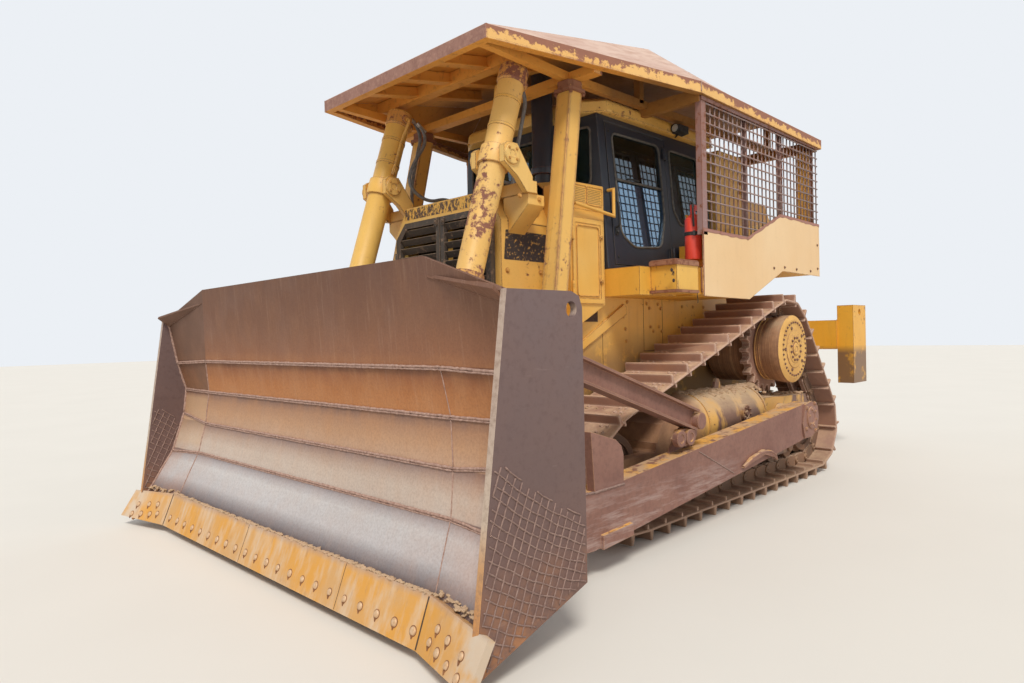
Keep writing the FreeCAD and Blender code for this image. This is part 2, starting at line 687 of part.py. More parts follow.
def hood_section(x, top, inset):
    """The hood's outline across the machine, chamfered at its upper corners."""
    half = BODY_HALF - inset
    corner = half - HOOD_CHAMFER[0]
    bend = top - HOOD_CHAMFER[1] - inset * 0.5
    return [(x, -half, HOOD_LOW), (x, half, HOOD_LOW), (x, half, bend), (x, corner, top - inset),
            (x, -corner, top - inset), (x, -half, bend)]


def hood():
    """Sheet hood from the guard to the cab, open below."""
    front = GUARD_X[0]
    top = GUARD_TOP_REAR - 5
    outer = lofted([hood_section(HOOD_REAR_X, HOOD_TOP_REAR, 0.0), hood_section(front, top, 0.0)])
    inner = lofted([hood_section(HOOD_REAR_X - 1, HOOD_TOP_REAR, HOOD_WALL),
                    hood_section(front + 1, top, HOOD_WALL)])
    past = BODY_HALF + 100
    mouth = box((HOOD_REAR_X - 10, front + 1), (-past, past), (HOOD_LOW - 10, HOOD_LOW + 10))
    x, y = STACK_AT
    hole = rod((x, y, HOOD_TOP_REAR - 380), (x, y, HOOD_TOP_REAR + 120), STACK_FOOT_R + FIT)
    return outer.cut(inner).cut(mouth).cut(hole)


def side_box():
    """Hollow box beside the hood's rear, with the engine door's opening."""
    x = SIDE_BOX_X
    z = SIDE_BOX_Z
    wall = SIDE_BOX_WALL
    low = [(x[0], z[0] + SIDE_BOX_RISE), (x[1], z[0] + 75), (x[1], z[1] - 10), (x[0], z[1])]
    outer = slab_xz(low, (BODY_HALF, SIDE_BOX_OUT))
    inner = slab_xz([(x[0] + wall, z[0] + SIDE_BOX_RISE + wall), (x[1] - wall, z[0] + 90 + wall),
                     (x[1] - wall, z[1] - 10 - wall), (x[0] + wall, z[1] - wall)],
                    (BODY_HALF + wall, SIDE_BOX_OUT - wall))
    mouth = box((ENGINE_DOOR_X[0] + DOOR_LIP, ENGINE_DOOR_X[1] - DOOR_LIP),
                (SIDE_BOX_OUT - wall - 1, SIDE_BOX_OUT + 1),
                (ENGINE_DOOR_Z[0] + DOOR_LIP, ENGINE_DOOR_Z[1] - DOOR_LIP))
    return outer.cut(inner).cut(mouth)


def engine_door():
    """Pressed door that lies on the side box round its opening."""
    x = ENGINE_DOOR_X
    z = ENGINE_DOOR_Z
    out = SIDE_BOX_OUT + ENGINE_DOOR_THICK
    skin = box(x, (SIDE_BOX_OUT, out), z)
    recess = box((x[0] + 35, x[1] - 35), (out - 5, out + 1), (z[0] + 40, z[1] - 40))
    return union([skin.cut(recess)] + knuckles(x[1], out, (z[0] + 70, z[1] - 70 - HINGE_LONG)))


def exhaust_stack():
    """Stack with its heat collar, on a narrower foot through the hood."""
    x, y = STACK_AT
    skin = HOOD_TOP_REAR + 25
    shell = rod((x, y, skin), (x, y, STACK_TOP), STACK_R)
    foot = rod((x, y, skin - 205), (x, y, skin + 5), STACK_FOOT_R)
    collar = rod((x, y, skin), (x, y, skin + 55), STACK_R + 12)
    bore = rod((x, y, skin + 195), (x, y, STACK_TOP + 1), STACK_R - 6)
    return union([shell, foot, collar]).cut(bore)


# Cab


def cab_block(inset, low, high):
    """The cab's tapered block, drawn in by inset on all four sides, between two heights."""
    def section(z):
        k = (z - FLOOR_Z) / (CAB_TOP - FLOOR_Z)
        half = CAB_HALF_LOW + (CAB_HALF_HIGH - CAB_HALF_LOW) * k - inset
        return [(CAB_X[0] + inset, -half, z), (CAB_X[1] - inset, -half, z), (CAB_X[1] - inset, half, z),
                (CAB_X[0] + inset, half, z)]
    return lofted([section(low), section(high)])


def rounded(points, r, thickness, to_world):
    """A polygon with its corners rounded, extruded; to_world places (u, v) points."""
    edges = []
    count = len(points)
    cut = []
    for i in range(count):
        p = V(points[i][0], points[i][1], 0)
        a = V(points[i - 1][0], points[i - 1][1], 0)
        b = V(points[(i + 1) % count][0], points[(i + 1) % count][1], 0)
        to_a = (a - p).normalize()
        to_b = (b - p).normalize()
        half_angle = to_a.getAngle(to_b) / 2
        back = r / math.tan(half_angle)
        centre = p + (to_a + to_b).normalize() * (r / math.sin(half_angle))
        mid = centre + (p - centre).normalize() * r
        cut.append((p + to_a * back, mid, p + to_b * back))
    for i in range(count):
        start, mid, end = cut[i]
        nxt = cut[(i + 1) % count][0]
        edges.append(Part.Arc(to_world(start), to_world(mid), to_world(end)).toShape())
        if (nxt - end).Length > 0.01:
            edges.append(Part.LineSegment(to_world(end), to_world(nxt)).toShape())
    return Part.Face(Part.Wire(edges)).extrude(thickness)


def side_window(points, r):
    start = CAB_HALF_HIGH - 200
    depth = CAB_HALF_LOW + 200 - start
    return rounded(points, r, V(0, depth, 0), lambda p: V(p.x, start, p.y))


def shrunk(points, by):
    """The polygon's corners drawn towards its middle by a small amount on each axis."""
    cx = sum(p[0] for p in points) / len(points)
    cz = sum(p[1] for p in points) / len(points)
    return [(x - math.copysign(by, x - cx), z - math.copysign(by, z - cz)) for x, z in points]


DOOR_WINDOW = [(1480, 2330), (1900, 2300), (2080, 2400), (2110, 3260), (1400, 3270), (1390, 2600)]
REAR_SIDE_WINDOW = [(700, 2620), (1120, 2560), (1225, 2700), (1225, 3270), (700, 3260)]
WINDOW_R = 55.0
# (y0, y1, z0, z1)
FRONT_PANES = ((-735.0, -455.0, 2810.0, 3300.0), (-395.0, 395.0, 2900.0, 3300.0),
               (455.0, 735.0, 2810.0, 3300.0))
REAR_PANE = (-560.0, 560.0, 3010.0, 3300.0)


def front_window(pane, x, by):
    y0, y1, z0, z1 = pane
    points = [(y0 + by, z0 + by), (y1 - by, z0 + by), (y1 - by, z1 - by), (y0 + by, z1 - by)]
    return rounded(points, WINDOW_R - by, V(CAB_WALL + 40, 0, 0), lambda p: V(x, p.x, p.y))


def door_cut(by):
    """The doorway's block in the left wall, smaller by a clearance."""
    x = (DOOR_X[0] + by, DOOR_X[1] - by)
    z = (DOOR_Z[0] + by, DOOR_Z[1] - by)
    return box(x, (CAB_HALF_HIGH - 200, CAB_HALF_LOW + 100), z)


def cab_walls(inset, thick):
    top = CAB_TOP
    return cab_block(inset, FLOOR_Z + FIT, top).cut(cab_block(inset + thick, FLOOR_Z - 5, top + 5))


def cab_shell():
    """Walls and floor of the cab with its doorways and window openings."""
    walls = cab_walls(0.0, CAB_WALL)
    floor = cab_block(CAB_WALL - 5, FLOOR_Z + FIT, FLOOR_Z + CAB_FLOOR)
    shell = union([walls, floor])
    cuts = []
    seat = cab_walls(-5.0, DOOR_THICK + 5.0 + FIT).common(door_cut(0.0))
    for shape in (door_cut(DOOR_LIP), seat, side_window(REAR_SIDE_WINDOW, WINDOW_R)):
        cuts += pair(shape)
    cuts += [front_window(pane, CAB_X[1] - CAB_WALL - 20, 0.0) for pane in FRONT_PANES]
    cuts.append(front_window(REAR_PANE, CAB_X[0] - 20, 0.0))
    for shape in cuts:
        shell = shell.cut(shape)
    return shell


def cab_glass():
    layer = cab_walls(GLASS_INSET, GLASS_THICK)
    panes = pair(side_window(shrunk(REAR_SIDE_WINDOW, FIT), WINDOW_R))
    panes += [front_window(pane, CAB_X[1] - CAB_WALL - 20, FIT) for pane in FRONT_PANES]
    panes.append(front_window(REAR_PANE, CAB_X[0] - 20, FIT))
    return [layer.common(shape) for shape in panes]


def cab_face(z):
    """The cab side's distance from the middle at a height."""
    return CAB_HALF_LOW + (CAB_HALF_HIGH - CAB_HALF_LOW) * (z - FLOOR_Z) / (CAB_TOP - FLOOR_Z)


def cab_door():
    """Flat door that closes against the lip of its doorway, with two hinge knuckles at its rear edge."""
    door = cab_walls(0.0, DOOR_THICK).common(door_cut(GAP)).cut(side_window(DOOR_WINDOW, WINDOW_R))
    x = DOOR_X[0] + GAP
    pieces = [door]
    for z in (DOOR_Z[0] + 90, DOOR_Z[1] - 90 - HINGE_LONG):
        low = cab_face(z) + HINGE_OUT
        high = cab_face(z + HINGE_LONG) + HINGE_OUT
        pieces.append(rod((x, low, z), (x, high, z + HINGE_LONG), HINGE_R))
        leaf = [(low - HINGE_OUT - 10, z + 8), (low + 3, z + 8), (high + 3, z + HINGE_LONG - 8),
                (high - HINGE_OUT - 10, z + HINGE_LONG - 8)]
        pieces.append(slab_yz(leaf, (x + 2, x + 50)))
    return union(pieces)


def knuckles(x, y, feet):
    """Upright hinge knuckles at the edge of a door."""
    return [rod((x, y, z), (x, y, z + HINGE_LONG), HINGE_R) for z in feet]


def door_glass():
    return cab_walls(GLASS_INSET, GLASS_THICK).common(side_window(shrunk(DOOR_WINDOW, FIT), WINDOW_R))


def cab_roof():
    """Roof pressing with chamfered front corners, overhanging the cab."""
    def plan(grow, z):
        x0 = CAB_X[0] - CAB_EAVES[0] - grow
        x1 = CAB_X[1] + CAB_EAVES[1] + grow
        y = CAB_HALF_HIGH + CAB_EAVES[2] + grow
        half = [(x0, y), (x1 - CAB_ROOF_CORNER[0], y), (x1, y - CAB_ROOF_CORNER[1])]
        return [(x, yy, z) for x, yy in half] + [(x, -yy, z) for x, yy in reversed(half)]
    return lofted([plan(0.0, CAB_TOP + FIT), plan(0.0, CAB_TOP + CAB_ROOF_RISE * 0.7),
                   plan(-60.0, CAB_TOP + CAB_ROOF_RISE)])


def operator_seat():
    """Seat on its base with a console each side."""
    floor = FLOOR_Z + CAB_FLOOR + FIT
    low = FLOOR_Z + SEAT_BASE
    top = low + CUSHION_THICK
    base = box((SEAT_X + 50, SEAT_X + 450), (-190, 190), (floor, low))
    cushion = box((SEAT_X, SEAT_X + 520), (-SEAT_HALF, SEAT_HALF), (low, top))
    back = slab_xz([(SEAT_X - 60, low + 20), (SEAT_X + 80, low + 20), (SEAT_X - 10, low + SEAT_BACK),
                    (SEAT_X - 120, low + SEAT_BACK)], (10 - SEAT_HALF, SEAT_HALF - 10))
    consoles = []
    for sign in (-1, 1):
        y = sorted((sign * (SEAT_HALF + 40), sign * CONSOLE_OUT))
        consoles.append(box((SEAT_X + 50, SEAT_X + 750), y, (floor, FLOOR_Z + CONSOLE_TOP)))
    return [union([base, cushion, back])] + consoles


# Fenders, tank and guards


def fender():
    """Platform box beside the cab with its step pocket, and the longer box over the track behind it."""
    inner = SKIRT_Y
    low = FENDER_LOW
    skin = GUARD_SIDE_Y - PANEL_THICK
    front = box((FENDER_X[1] + 10, CAB_X[1]), (inner, STEP_IN), (low, FLOOR_Z))
    rim = FLOOR_Z + STEP_RISE
    tread = box((STEP_X[0] + 15, STEP_X[1] - 15), (STEP_IN + 5, skin - 12), (low + 25, rim + 10))
    pocket = box(STEP_X, (STEP_IN - 5, skin - 2), (low + 10, rim)).cut(tread)
    x0, x1 = FENDER_X
    hinge_x = DOOR_X[0] - 70
    outline = [(x1, low), (x0, low), (220, 2140), (-690, 2140), (-690, FENDER_TOP), (250, FENDER_TOP),
               (860, 2365), (hinge_x, 2350), (hinge_x, FENDER_SHELF_Z), (x1, FENDER_SHELF_Z)]
    rear = slab_xz(outline, (CAB_HALF_LOW + 12, skin))
    shelf = slab_xz([(x1, low), (x0, low), (CAB_X[0], low + 150), (CAB_X[0], FLOOR_Z), (x1, FLOOR_Z)],
                    (inner, CAB_HALF_LOW + 20))
    return union([front, pocket, rear, shelf])


def extinguisher():
    """Bottle with a domed top and valve, in a channel that stands on the left fender."""
    x, y = EXTINGUISHER_AT
    foot = FENDER_SHELF_Z + 85
    r = EXTINGUISHER_R
    top = EXTINGUISHER_TOP
    outline = [(0, foot), (r, foot), (r, top - 90), (22, top - 45), (22, top), (0, top)]
    bottle = face_of([V(x + dx, y, z) for dx, z in outline]).revolve(V(x, y, 0), V(0, 0, 1), 360)
    valve = box((x - 50, x + 20), (y - 14, y + 14), (top - 15, top + 35))
    return union([bottle, valve])


def extinguisher_bracket():
    """Folded channel with a foot plate under the bottle."""
    x, y = EXTINGUISHER_AT
    r = EXTINGUISHER_R + FIT
    back = box((x + r, x + r + 8), (y - 45, y + 45), (FENDER_SHELF_Z, EXTINGUISHER_TOP + 20))
    lip = box((x + r, x + r + 35), (y + 37, y + 45), (FENDER_SHELF_Z, EXTINGUISHER_TOP + 20))
    plate = box((x - r, x + r + 4), (y - 40, y + r), (FENDER_SHELF_Z + 75, FENDER_SHELF_Z + 85))
    leg = box((x - 12, x + 12), (y - 12, y + 12), (FENDER_SHELF_Z, FENDER_SHELF_Z + 78))
    return union([back, lip, plate, leg])


def pipe(points, r):
    """A bar of radius r through points, mitred at its turns."""
    path = Part.Wire(Part.makePolygon([V(*p) for p in points]).Edges)
    start = V(*points[0])
    ring = Part.Wire(Part.makeCircle(r, start, V(*points[1]) - start))
    return path.makePipeShell([ring], True, False, 1)


def handrail():
    """Grab rail along the side box, turned up at the cab's front pillar."""
    out = SIDE_BOX_OUT + 45
    x0 = SIDE_BOX_X[1] - 25
    x1 = DOOR_X[1] + 30
    z = SIDE_BOX_Z[1] - 220
    bar = pipe([(x0, SIDE_BOX_OUT, z + 30), (x0, out, z + 30), (x1, out, z - 20), (x1, out, z + 200),
                (x1, CAB_HALF_LOW - 80, z + 200)], RAIL_R)
    return bar.cut(cab_block(0.0, FLOOR_Z, CAB_TOP))


def work_lamp():
    """Lamp under the rear of the cab roof's side, with a tapered back."""
    x = (1080.0, 1260.0)
    y = CAB_HALF_HIGH + CAB_EAVES[2] + FIT
    z = (CAB_TOP + 5, CAB_TOP + 88)
    front = [(x[0], y, z[0]), (x[1], y, z[0]), (x[1], y, z[1]), (x[0], y, z[1])]
    back = [(x[0] + 10, y + 85, z[0] + 8), (x[1] - 10, y + 85, z[0] + 8), (x[1] - 10, y + 85, z[1] - 8),
            (x[0] + 10, y + 85, z[1] - 8)]
    return lofted([front, back])


def fuel_tank():
    """Tank behind the cab, the cab's width above the fenders and the case's width below them."""
    x0, x1 = TANK_X
    z0, z1 = TANK_Z
    half = CAB_HALF_LOW
    outline = [(x0, z0), (x1, z0), (x1, z1), (x0 + 120, z1), (x0, z1 - 150)]
    beside = box((x0 - 80, x1 + 120), (-half - 1, half + 1), (z0 - 50, TANK_STEP_Z))
    core = box((x0 - 80, x1 + 120), (-BODY_HALF, BODY_HALF), (z0 - 60, TANK_STEP_Z + 10))
    return slab_xz(outline, (-half, half)).cut(beside.cut(core))


def guard_panel():
    """Solid lower side panel with its arch over the track's top."""
    foot = [(1742, 1850), (930, 1840), (220, 2130), (-700, 2120)]
    return slab_xz(foot + list(reversed(PANEL_TOP)), (GUARD_SIDE_Y - PANEL_THICK, GUARD_SIDE_Y))


PANEL_TOP = ((1742.0, 2413.0), (954.0, 2400.0), (253.0, 2685.0), (-700.0, 2676.0))


def panel_top_at(x):
    for (x1, z1), (x0, z0) in zip(PANEL_TOP, PANEL_TOP[1:]):
        if x >= x0:
            return z0 + (z1 - z0) * (x - x0) / (x1 - x0)
    return PANEL_TOP[-1][1]


def mesh_guard():
    """Welded bar mesh in a frame, between the side panel and the canopy's edge."""
    face = GUARD_SIDE_Y
    y = (face - 40, face)
    rear_x, front_x = MESH_X
    top_z = MESH_TOP + MESH_CAP
    front = box((front_x, front_x + 60), (face - 60, face), (1850, top_z))
    rear = box((rear_x, rear_x + 40), y, (panel_top_at(rear_x) + 1, top_z))
    top = beam((rear_x, face - 20, MESH_TOP), (front_x + 10, face - 20, MESH_TOP), rectangle(40, 40))
    foot = []
    for (x1, z1), (x0, z0) in zip(PANEL_TOP, PANEL_TOP[1:]):
        foot.append(slab_xz([(x0, z0 + FIT), (x1 + 9, z1 + FIT), (x1 + 9, z1 + 30), (x0, z0 + 30)], y))
    bars = []
    count = int((front_x - rear_x - 60) / MESH_PITCH)
    for i in range(1, count + 1):
        x = rear_x + 40 + i * MESH_PITCH
        bars.append(box((x, x + MESH_BAR), (face - 14, face - 2), (panel_top_at(x) + 15, MESH_TOP)))
    (low_x, low_z), (high_x, high_z) = PANEL_TOP[1:3]
    level = MESH_TOP - MESH_PITCH
    while level > low_z + 50:
        start = rear_x + 10
        if level < high_z + 35:
            start = high_x + (high_z + 10 - level) / (high_z - low_z) * (low_x - high_x)
        bars.append(box((start, front_x + 5), (face - 27, face - 15), (level, level + MESH_BAR)))
        level -= MESH_PITCH
    return union([front, rear, top] + foot + bars)


# Canopy


def canopy_roof():
    """Hipped plate roof with a channel round its edge and beams under it."""
    def sheet(points):
        return face_of([V(*p) for p in points]).extrude(V(0, 0, -ROOF_SHEET))

    def flip(p):
        return (p[0], -p[1], p[2])

    plates = [sheet([ROOF_FRONT, ROOF_BREAK, flip(ROOF_BREAK), flip(ROOF_FRONT)]),
              sheet([ROOF_BREAK, ROOF_REAR_TOP, flip(ROOF_REAR_TOP), flip(ROOF_BREAK)])]
    for side in (lambda p: p, flip):
        plates.append(sheet([side(ROOF_FRONT), side(ROOF_MID), side(ROOF_BREAK)]))
        plates.append(sheet([side(ROOF_MID), side(ROOF_REAR_TOP), side(ROOF_BREAK)]))
        plates.append(sheet([side(ROOF_MID), side(ROOF_REAR), side(ROOF_REAR_TOP)]))
    rim = [ROOF_FRONT, ROOF_MID, ROOF_REAR]
    rim += [flip(p) for p in reversed(rim)]
    fall = FASCIA / 2 + 4
    edges = []
    for a, b in zip(rim, rim[1:] + rim[:1]):
        edges.append(beam((a[0], a[1], a[2] - fall), (b[0], b[1], b[2] - fall), rectangle(24, FASCIA)))
    for x, y, z in rim:
        edges.append(box((x - 14, x + 14), (y - 14, y + 14), (z - FASCIA - 4, z - 4)))
    return union(plates + edges + canopy_beams())


def canopy_beams():
    """Cross beams and rails under the roof sheet, and the seats over the mesh guards."""
    under = POST_TOP[2]
    seat = MESH_TOP + MESH_CAP
    rail = rectangle(60, 64)
    post_x, post_y = POST_TOP[0], POST_TOP[1]
    break_x = ROOF_BREAK[0] - 50
    beams = [box((post_x - 50, post_x + 50), (-1180, 1180), (under, under + 65))]
    for y in (-post_y, post_y):
        start = (post_x, y, under + 33)
        beams.append(beam(start, (ROOF_FRONT[0], y, ROOF_FRONT[2] - 60), rail))
        beams.append(beam(start, (MESH_X[0], y, under + 65), rail))
        beams.append(box((break_x, break_x + 60), (y - 30, y + 30), (under + 45, ROOF_BREAK[2] - 5)))
        beams.append(box((MESH_X[0], MESH_X[0] + 60), (y - 30, y + 30), (under + 45, ROOF_REAR_TOP[2] + 10)))
    for x in MESH_X:
        beams.append(box((x, x + 60), (-940, 940), (under + 55, under + 115)))
        for sign in (-1, 1):
            outer = sorted((sign * 880, sign * (GUARD_SIDE_Y - 5)))
            inner = sorted((sign * 880, sign * 940))
            beams.append(box((x, x + 60), outer, (seat, under)))
            beams.append(box((x, x + 60), inner, (seat, under + 115)))
    return beams


def canopy_posts():
    """Leaning front posts, each on a bracket arm from the guard's foot, and the uprights at the back."""
    post = beam(POST_FOOT, POST_TOP, rectangle(POST, POST), V(1, 0, 0))
    foot_x, foot_y, foot_z = POST_FOOT
    foot = box((foot_x - 155, foot_x + 115), (GUARD_HALF + FIT, foot_y + 76), (foot_z - 220, foot_z + 20))
    above = box((POST_TOP[0] - 757, POST_TOP[0] + 243), (0, 2000), (POST_TOP[2], POST_TOP[2] + 500))
    front = union([post, foot]).cut(above)
    rear = box((MESH_X[0] + 5, MESH_X[0] + 125), (GUARD_SIDE_Y - 190, GUARD_SIDE_Y - 62),
               (FENDER_TOP, MESH_TOP + MESH_CAP))
    return pair(front) + pair(rear)


# Lift cylinders


def lift_frame():
    """Unit vector from the trunnion down to the rod's eye."""
    run = V(LIFT_EYE[0] - LIFT_TRUNNION[0], 0, LIFT_EYE[1] - LIFT_TRUNNION[1])
    return run, V(run.x, 0, run.z).normalize()


def lift_at(s, y=LIFT_Y):
    run, unit = lift_frame()
    return (LIFT_TRUNNION[0] + unit.x * s, y, LIFT_TRUNNION[1] + unit.z * s)


def lift_barrel():
    """Bored barrel with its gland, end cap and trunnion collar."""
    x, z = LIFT_TRUNNION
    body = rod(lift_at(-LIFT_ABOVE), lift_at(LIFT_BELOW), BARREL_R)
    collar = rod(lift_at(-70), lift_at(70), BARREL_R + 18)
    gland = rod(lift_at(LIFT_BELOW - GLAND), lift_at(LIFT_BELOW), BARREL_R + 8)
    cap = rod(lift_at(-LIFT_ABOVE), lift_at(-LIFT_ABOVE + END_CAP), BARREL_R + 8)
    pins = across(x, z, LIFT_Y - YOKE_HALF, LIFT_Y + YOKE_HALF, YOKE_PIN_R)
    bore = rod(lift_at(-LIFT_ABOVE + END_CAP), lift_at(LIFT_BELOW - GLAND), BORE_R)
    gland_hole = rod(lift_at(LIFT_BELOW - GLAND - 1), lift_at(LIFT_BELOW + 1), ROD_R + SLIDE)
    return union([body, collar, gland, cap, pins]).cut(bore).cut(gland_hole)


def lift_rod():
    """Rod with its piston in the barrel and its eye at the blade's clevis."""
    x, z = LIFT_EYE
    reach = math.dist(LIFT_TRUNNION, LIFT_EYE)
    shaft = rod(lift_at(PISTON_AT), lift_at(reach - EYE_R + 12), ROD_R)
    piston = rod(lift_at(PISTON_AT), lift_at(PISTON_AT + PISTON_LONG), BORE_R - SLIDE)
    eye = across(x, z, LIFT_Y - EYE_HALF, LIFT_Y + EYE_HALF, EYE_R)
    hole = across(x, z, LIFT_Y - EYE_HALF - 1, LIFT_Y + EYE_HALF + 1, EYE_BORE_R)
    return union([shaft, piston, eye]).cut(hole)


def lift_yoke():
    """Two cheeks that hold the barrel's trunnion pins, on a foot over the guard's shoulder."""
    x, z = LIFT_TRUNNION
    seat = SHOULDER_Z[2]
    outline = [(x + 75, z - 60), (x + 75, z + 60), (x + 40, z + 85), (x - 60, z + 85), (x - 215, z - 130),
               (x - 215, seat + 1), (x - 150, seat + 1), (x - 60, z - 150)]
    pieces = [box((x - 260, x - 175), (LIFT_Y - YOKE_HALF, LIFT_Y + YOKE_HALF), (seat + FIT, seat + 90))]
    for low in (LIFT_Y - YOKE_HALF, LIFT_Y + YOKE_HALF - 50):
        pieces.append(slab_xz(outline, (low, low + 50)))
    hole = across(x, z, LIFT_Y - YOKE_HALF - 25, LIFT_Y + YOKE_HALF + 25, YOKE_PIN_R + SLIDE)
    return union(pieces).cut(guard_block()).cut(hole)


# Blade


def fold_y(z):
    return FOLD_TOP_Y + FOLD_LEAN * (FOLD_FACE[0][1] - z)


def board_sections(sign):
    """The board's closed profile at the fold and at the end plate on one side."""
    fold = [(x, sign * fold_y(z), z) for x, z in FOLD_FACE]
    fold += [(x - BOARD_THICK, sign * fold_y(z), z) for x, z in reversed(FOLD_FACE)]
    wing = [(x, sign * END_PLATE_Y, z) for x, z in WING_FACE]
    wing += [(x - BOARD_THICK, sign * END_PLATE_Y, z) for x, z in reversed(WING_FACE)]
    return fold, wing


def mouldboard():
    """Faceted board with its folded wings, and the beams, ribs and clevises on its back."""
    lower = slab_xz([(BEAM_REAR_X, 230), (4770, 262), (4600, 745), (BEAM_REAR_X, 745)],
                    (-ARM_Y[1] - 5, ARM_Y[1] + 5))
    x = UPPER_BEAM_REAR
    half = BRACE_Y[1] + 30
    upper = slab_xz([(x, 1500), (4605, 1500), (4630, 1790), (x, 1790)], (-half, half))
    pieces = [lower, upper]
    for y in (-RIB_Y, -LIFT_Y, 0, LIFT_Y, RIB_Y):
        rib = [(x - 20, 700), (4595, 700), (4575, 1140), (4605, 1540), (x + 5, 1540)]
        pieces.append(slab_xz(rib, (y - 25, y + 25)))
    clevis = [(4600, 700), (4250, 690), (3990, 775), (3955, 850), (3990, 930), (4060, 950), (4590, 1130)]
    for side in (-1, 1):
        for near in (EYE_HALF + 12, -EYE_HALF - 12 - CHEEK):
            y = sorted((side * LIFT_Y + near, side * LIFT_Y + near + CHEEK))
            pieces.append(slab_xz(clevis, y))
    plate = box((4000, 5000), (END_PLATE_Y, END_PLATE_Y + 50), (1500, 2000))
    return union(board_skins() + pieces + pair(corner_gusset().cut(plate)))


def corner_gusset():
    """Wedge plate that stiffens the corner between the wing's top and the end plate."""
    tip = (4636.0, 1500.0, 1885.0)
    root = (4698.0, END_PLATE_Y, 1690.0)
    nose = (4757.0, END_PLATE_Y, 1762.0)
    return face_of([V(*tip), V(*root), V(*nose)]).extrude(V(-18, 6, 18))


def end_plate():
    """Side plate with a rounded top rear corner, a lifting hole and a raked foot."""
    y = (END_PLATE_Y, END_PLATE_Y + END_PLATE_THICK)
    outline = [(4750, 1770), (4300, 1770), (4243, 1747), (4220, 1690), (4220, 310), (5040, EDGE_BOTTOM),
               (4968, 235)]
    hole = across(LIFTING_EYE[0], LIFTING_EYE[1], y[0] - 1, y[1] + 1, LIFTING_EYE_R)
    return slab_xz(outline, y).cut(hole).cut(end_bit())


def end_bit():
    """Cutting corner that sweeps forward past the end plate."""
    tip = [(4930, 262), (4975, 282), (BLADE_FRONT, EDGE_BOTTOM + 35), (5050, EDGE_BOTTOM + 20)]
    return lofted([[(x, EDGE_HALF - 5, z) for x, z in EDGE_SECTION], [(x, END_BIT_Y, z) for x, z in tip]])


def cutting_edges():
    """Bolted edge along the board's foot between the two end bits."""
    edge = slab_xz(EDGE_SECTION, (-EDGE_HALF, EDGE_HALF))
    return union([edge, end_bit(), mirrored(end_bit())]).cut(union(board_skins()))


def board_skins():
    """The board alone: its middle and two wings."""
    left_fold, left_wing = board_sections(1)
    right_fold, right_wing = board_sections(-1)
    spans = ((right_fold, left_fold), (left_fold, left_wing), (right_fold, right_wing))
    return [lofted([a, b]) for a, b in spans]


def push_arm():
    """Box arm from the trunnion to the blade's lower beam, with its upright plate and wear bar."""
    px, pz = ARM_PIVOT
    inner, outer = ARM_Y
    rear = BEAM_REAR_X
    main = slab_xz([(330, 500), (3500, 190), (rear, 240), (rear, 600), (3500, 560), (310, 840)], ARM_Y)
    head = slab_xz([(330, 500), (310, 840), (120, 850), (-20, 800), (-60, 690), (0, 560), (120, 505)],
                   (inner, outer - 12))
    plate = slab_xz([(3490, 540), (3520, 944), (3260, 865), (3200, 820), (3177, 760), (3180, 560)],
                    (outer - 60, outer))
    wear = slab_xz([(3110, 215), (3120, 298), (3440, 280), (3440, 190)], (outer - 20, outer + 25))
    lug = slab_xz([(2430, 600), (2460, 640), (2330, 810), (2180, 820), (2150, 750), (2240, 640)],
                  (BRACE_Y[0] - 25, BRACE_Y[0] - GAP))
    bore = across(px, pz, inner - 1, outer + 1, TRUNNION_R + 1)
    return union([main, head, plate, wear, lug]).cut(bore)


def brace():
    """I-section strut from the arm's eye up to the blade's upper beam."""
    x0, z0 = BRACE_REAR
    x1 = UPPER_BEAM_REAR
    z1 = z0 + BRACE_SLOPE * (x1 - x0)
    mid = (BRACE_Y[0] + BRACE_Y[1]) / 2
    w = (BRACE_Y[1] - BRACE_Y[0]) / 2
    d = BRACE_DEPTH / 2
    f = d - BRACE_FLANGE
    web = BRACE_WEB / 2
    outline = [(-w, -d), (w, -d), (w, -f), (web, -f), (web, f), (w, f), (w, d), (-w, d), (-w, f), (-web, f),
               (-web, -f), (-w, -f)]
    strut = beam((x0, mid, z0), (x1 + 60, mid, z1 + 60 * BRACE_SLOPE), outline)
    strut = strut.cut(box((x1, x1 + 300), (1000, 2000), (0, 3000)))
    eye = across(x0 - 30, z0 - 10, BRACE_Y[0], BRACE_Y[1], 62)
    link = slab_xz([(2370, 720), (2390, 790), (2330, 830), (2180, 900), (2120, 860), (2130, 760),
                    (2190, 700)], (BRACE_Y[0], BRACE_Y[0] + 45))
    return union([strut, eye, link])


# Ripper


def ripper_bracket():
    """Plates on the case's rear that carry the ripper's pins."""
    pieces = []
    for y, (x, z) in ((LOWER_ARM_Y, LOWER_PIN), (TILT_Y, UPPER_PIN), (RIPPER_LIFT_Y, RIPPER_BARREL_PIN)):
        root = CASE_X[0]
        outline = [(root, z - 110), (x - 40, z - 70), (x - 75, z), (x - 40, z + 70), (root, z + 90)]
        for near in EAR_NEAR:
            pieces += pair(slab_xz(outline, (y + near, y + near + EAR)))
        pieces += pair(across(x, z, y - PIN_HALF, y + PIN_HALF, RIPPER_PIN_R))
    back = box((CASE_X[0] - 30, CASE_X[0]), (-BODY_HALF - 40, BODY_HALF + 40), (800, CASE_TOP - 5))
    return union(pieces + [back])


def link_arm(a, b, y, width, depth):
    """A flat bar with rounded eyes between two pins."""
    half = width / 2
    bar = beam((a[0], y, a[1]), (b[0], y, b[1]), rectangle(width, depth))
    arm = union([bar] + [across(x, z, y - half, y + half, depth * 0.62) for x, z in (a, b)])
    for x, z in (a, b):
        arm = arm.cut(across(x, z, y - half - 1, y + half + 1, RIPPER_PIN_R + FIT))
    return arm


def rear_of(pin):
    return (pin[0] + LINK_RUN[0], pin[1] + LINK_RUN[1])


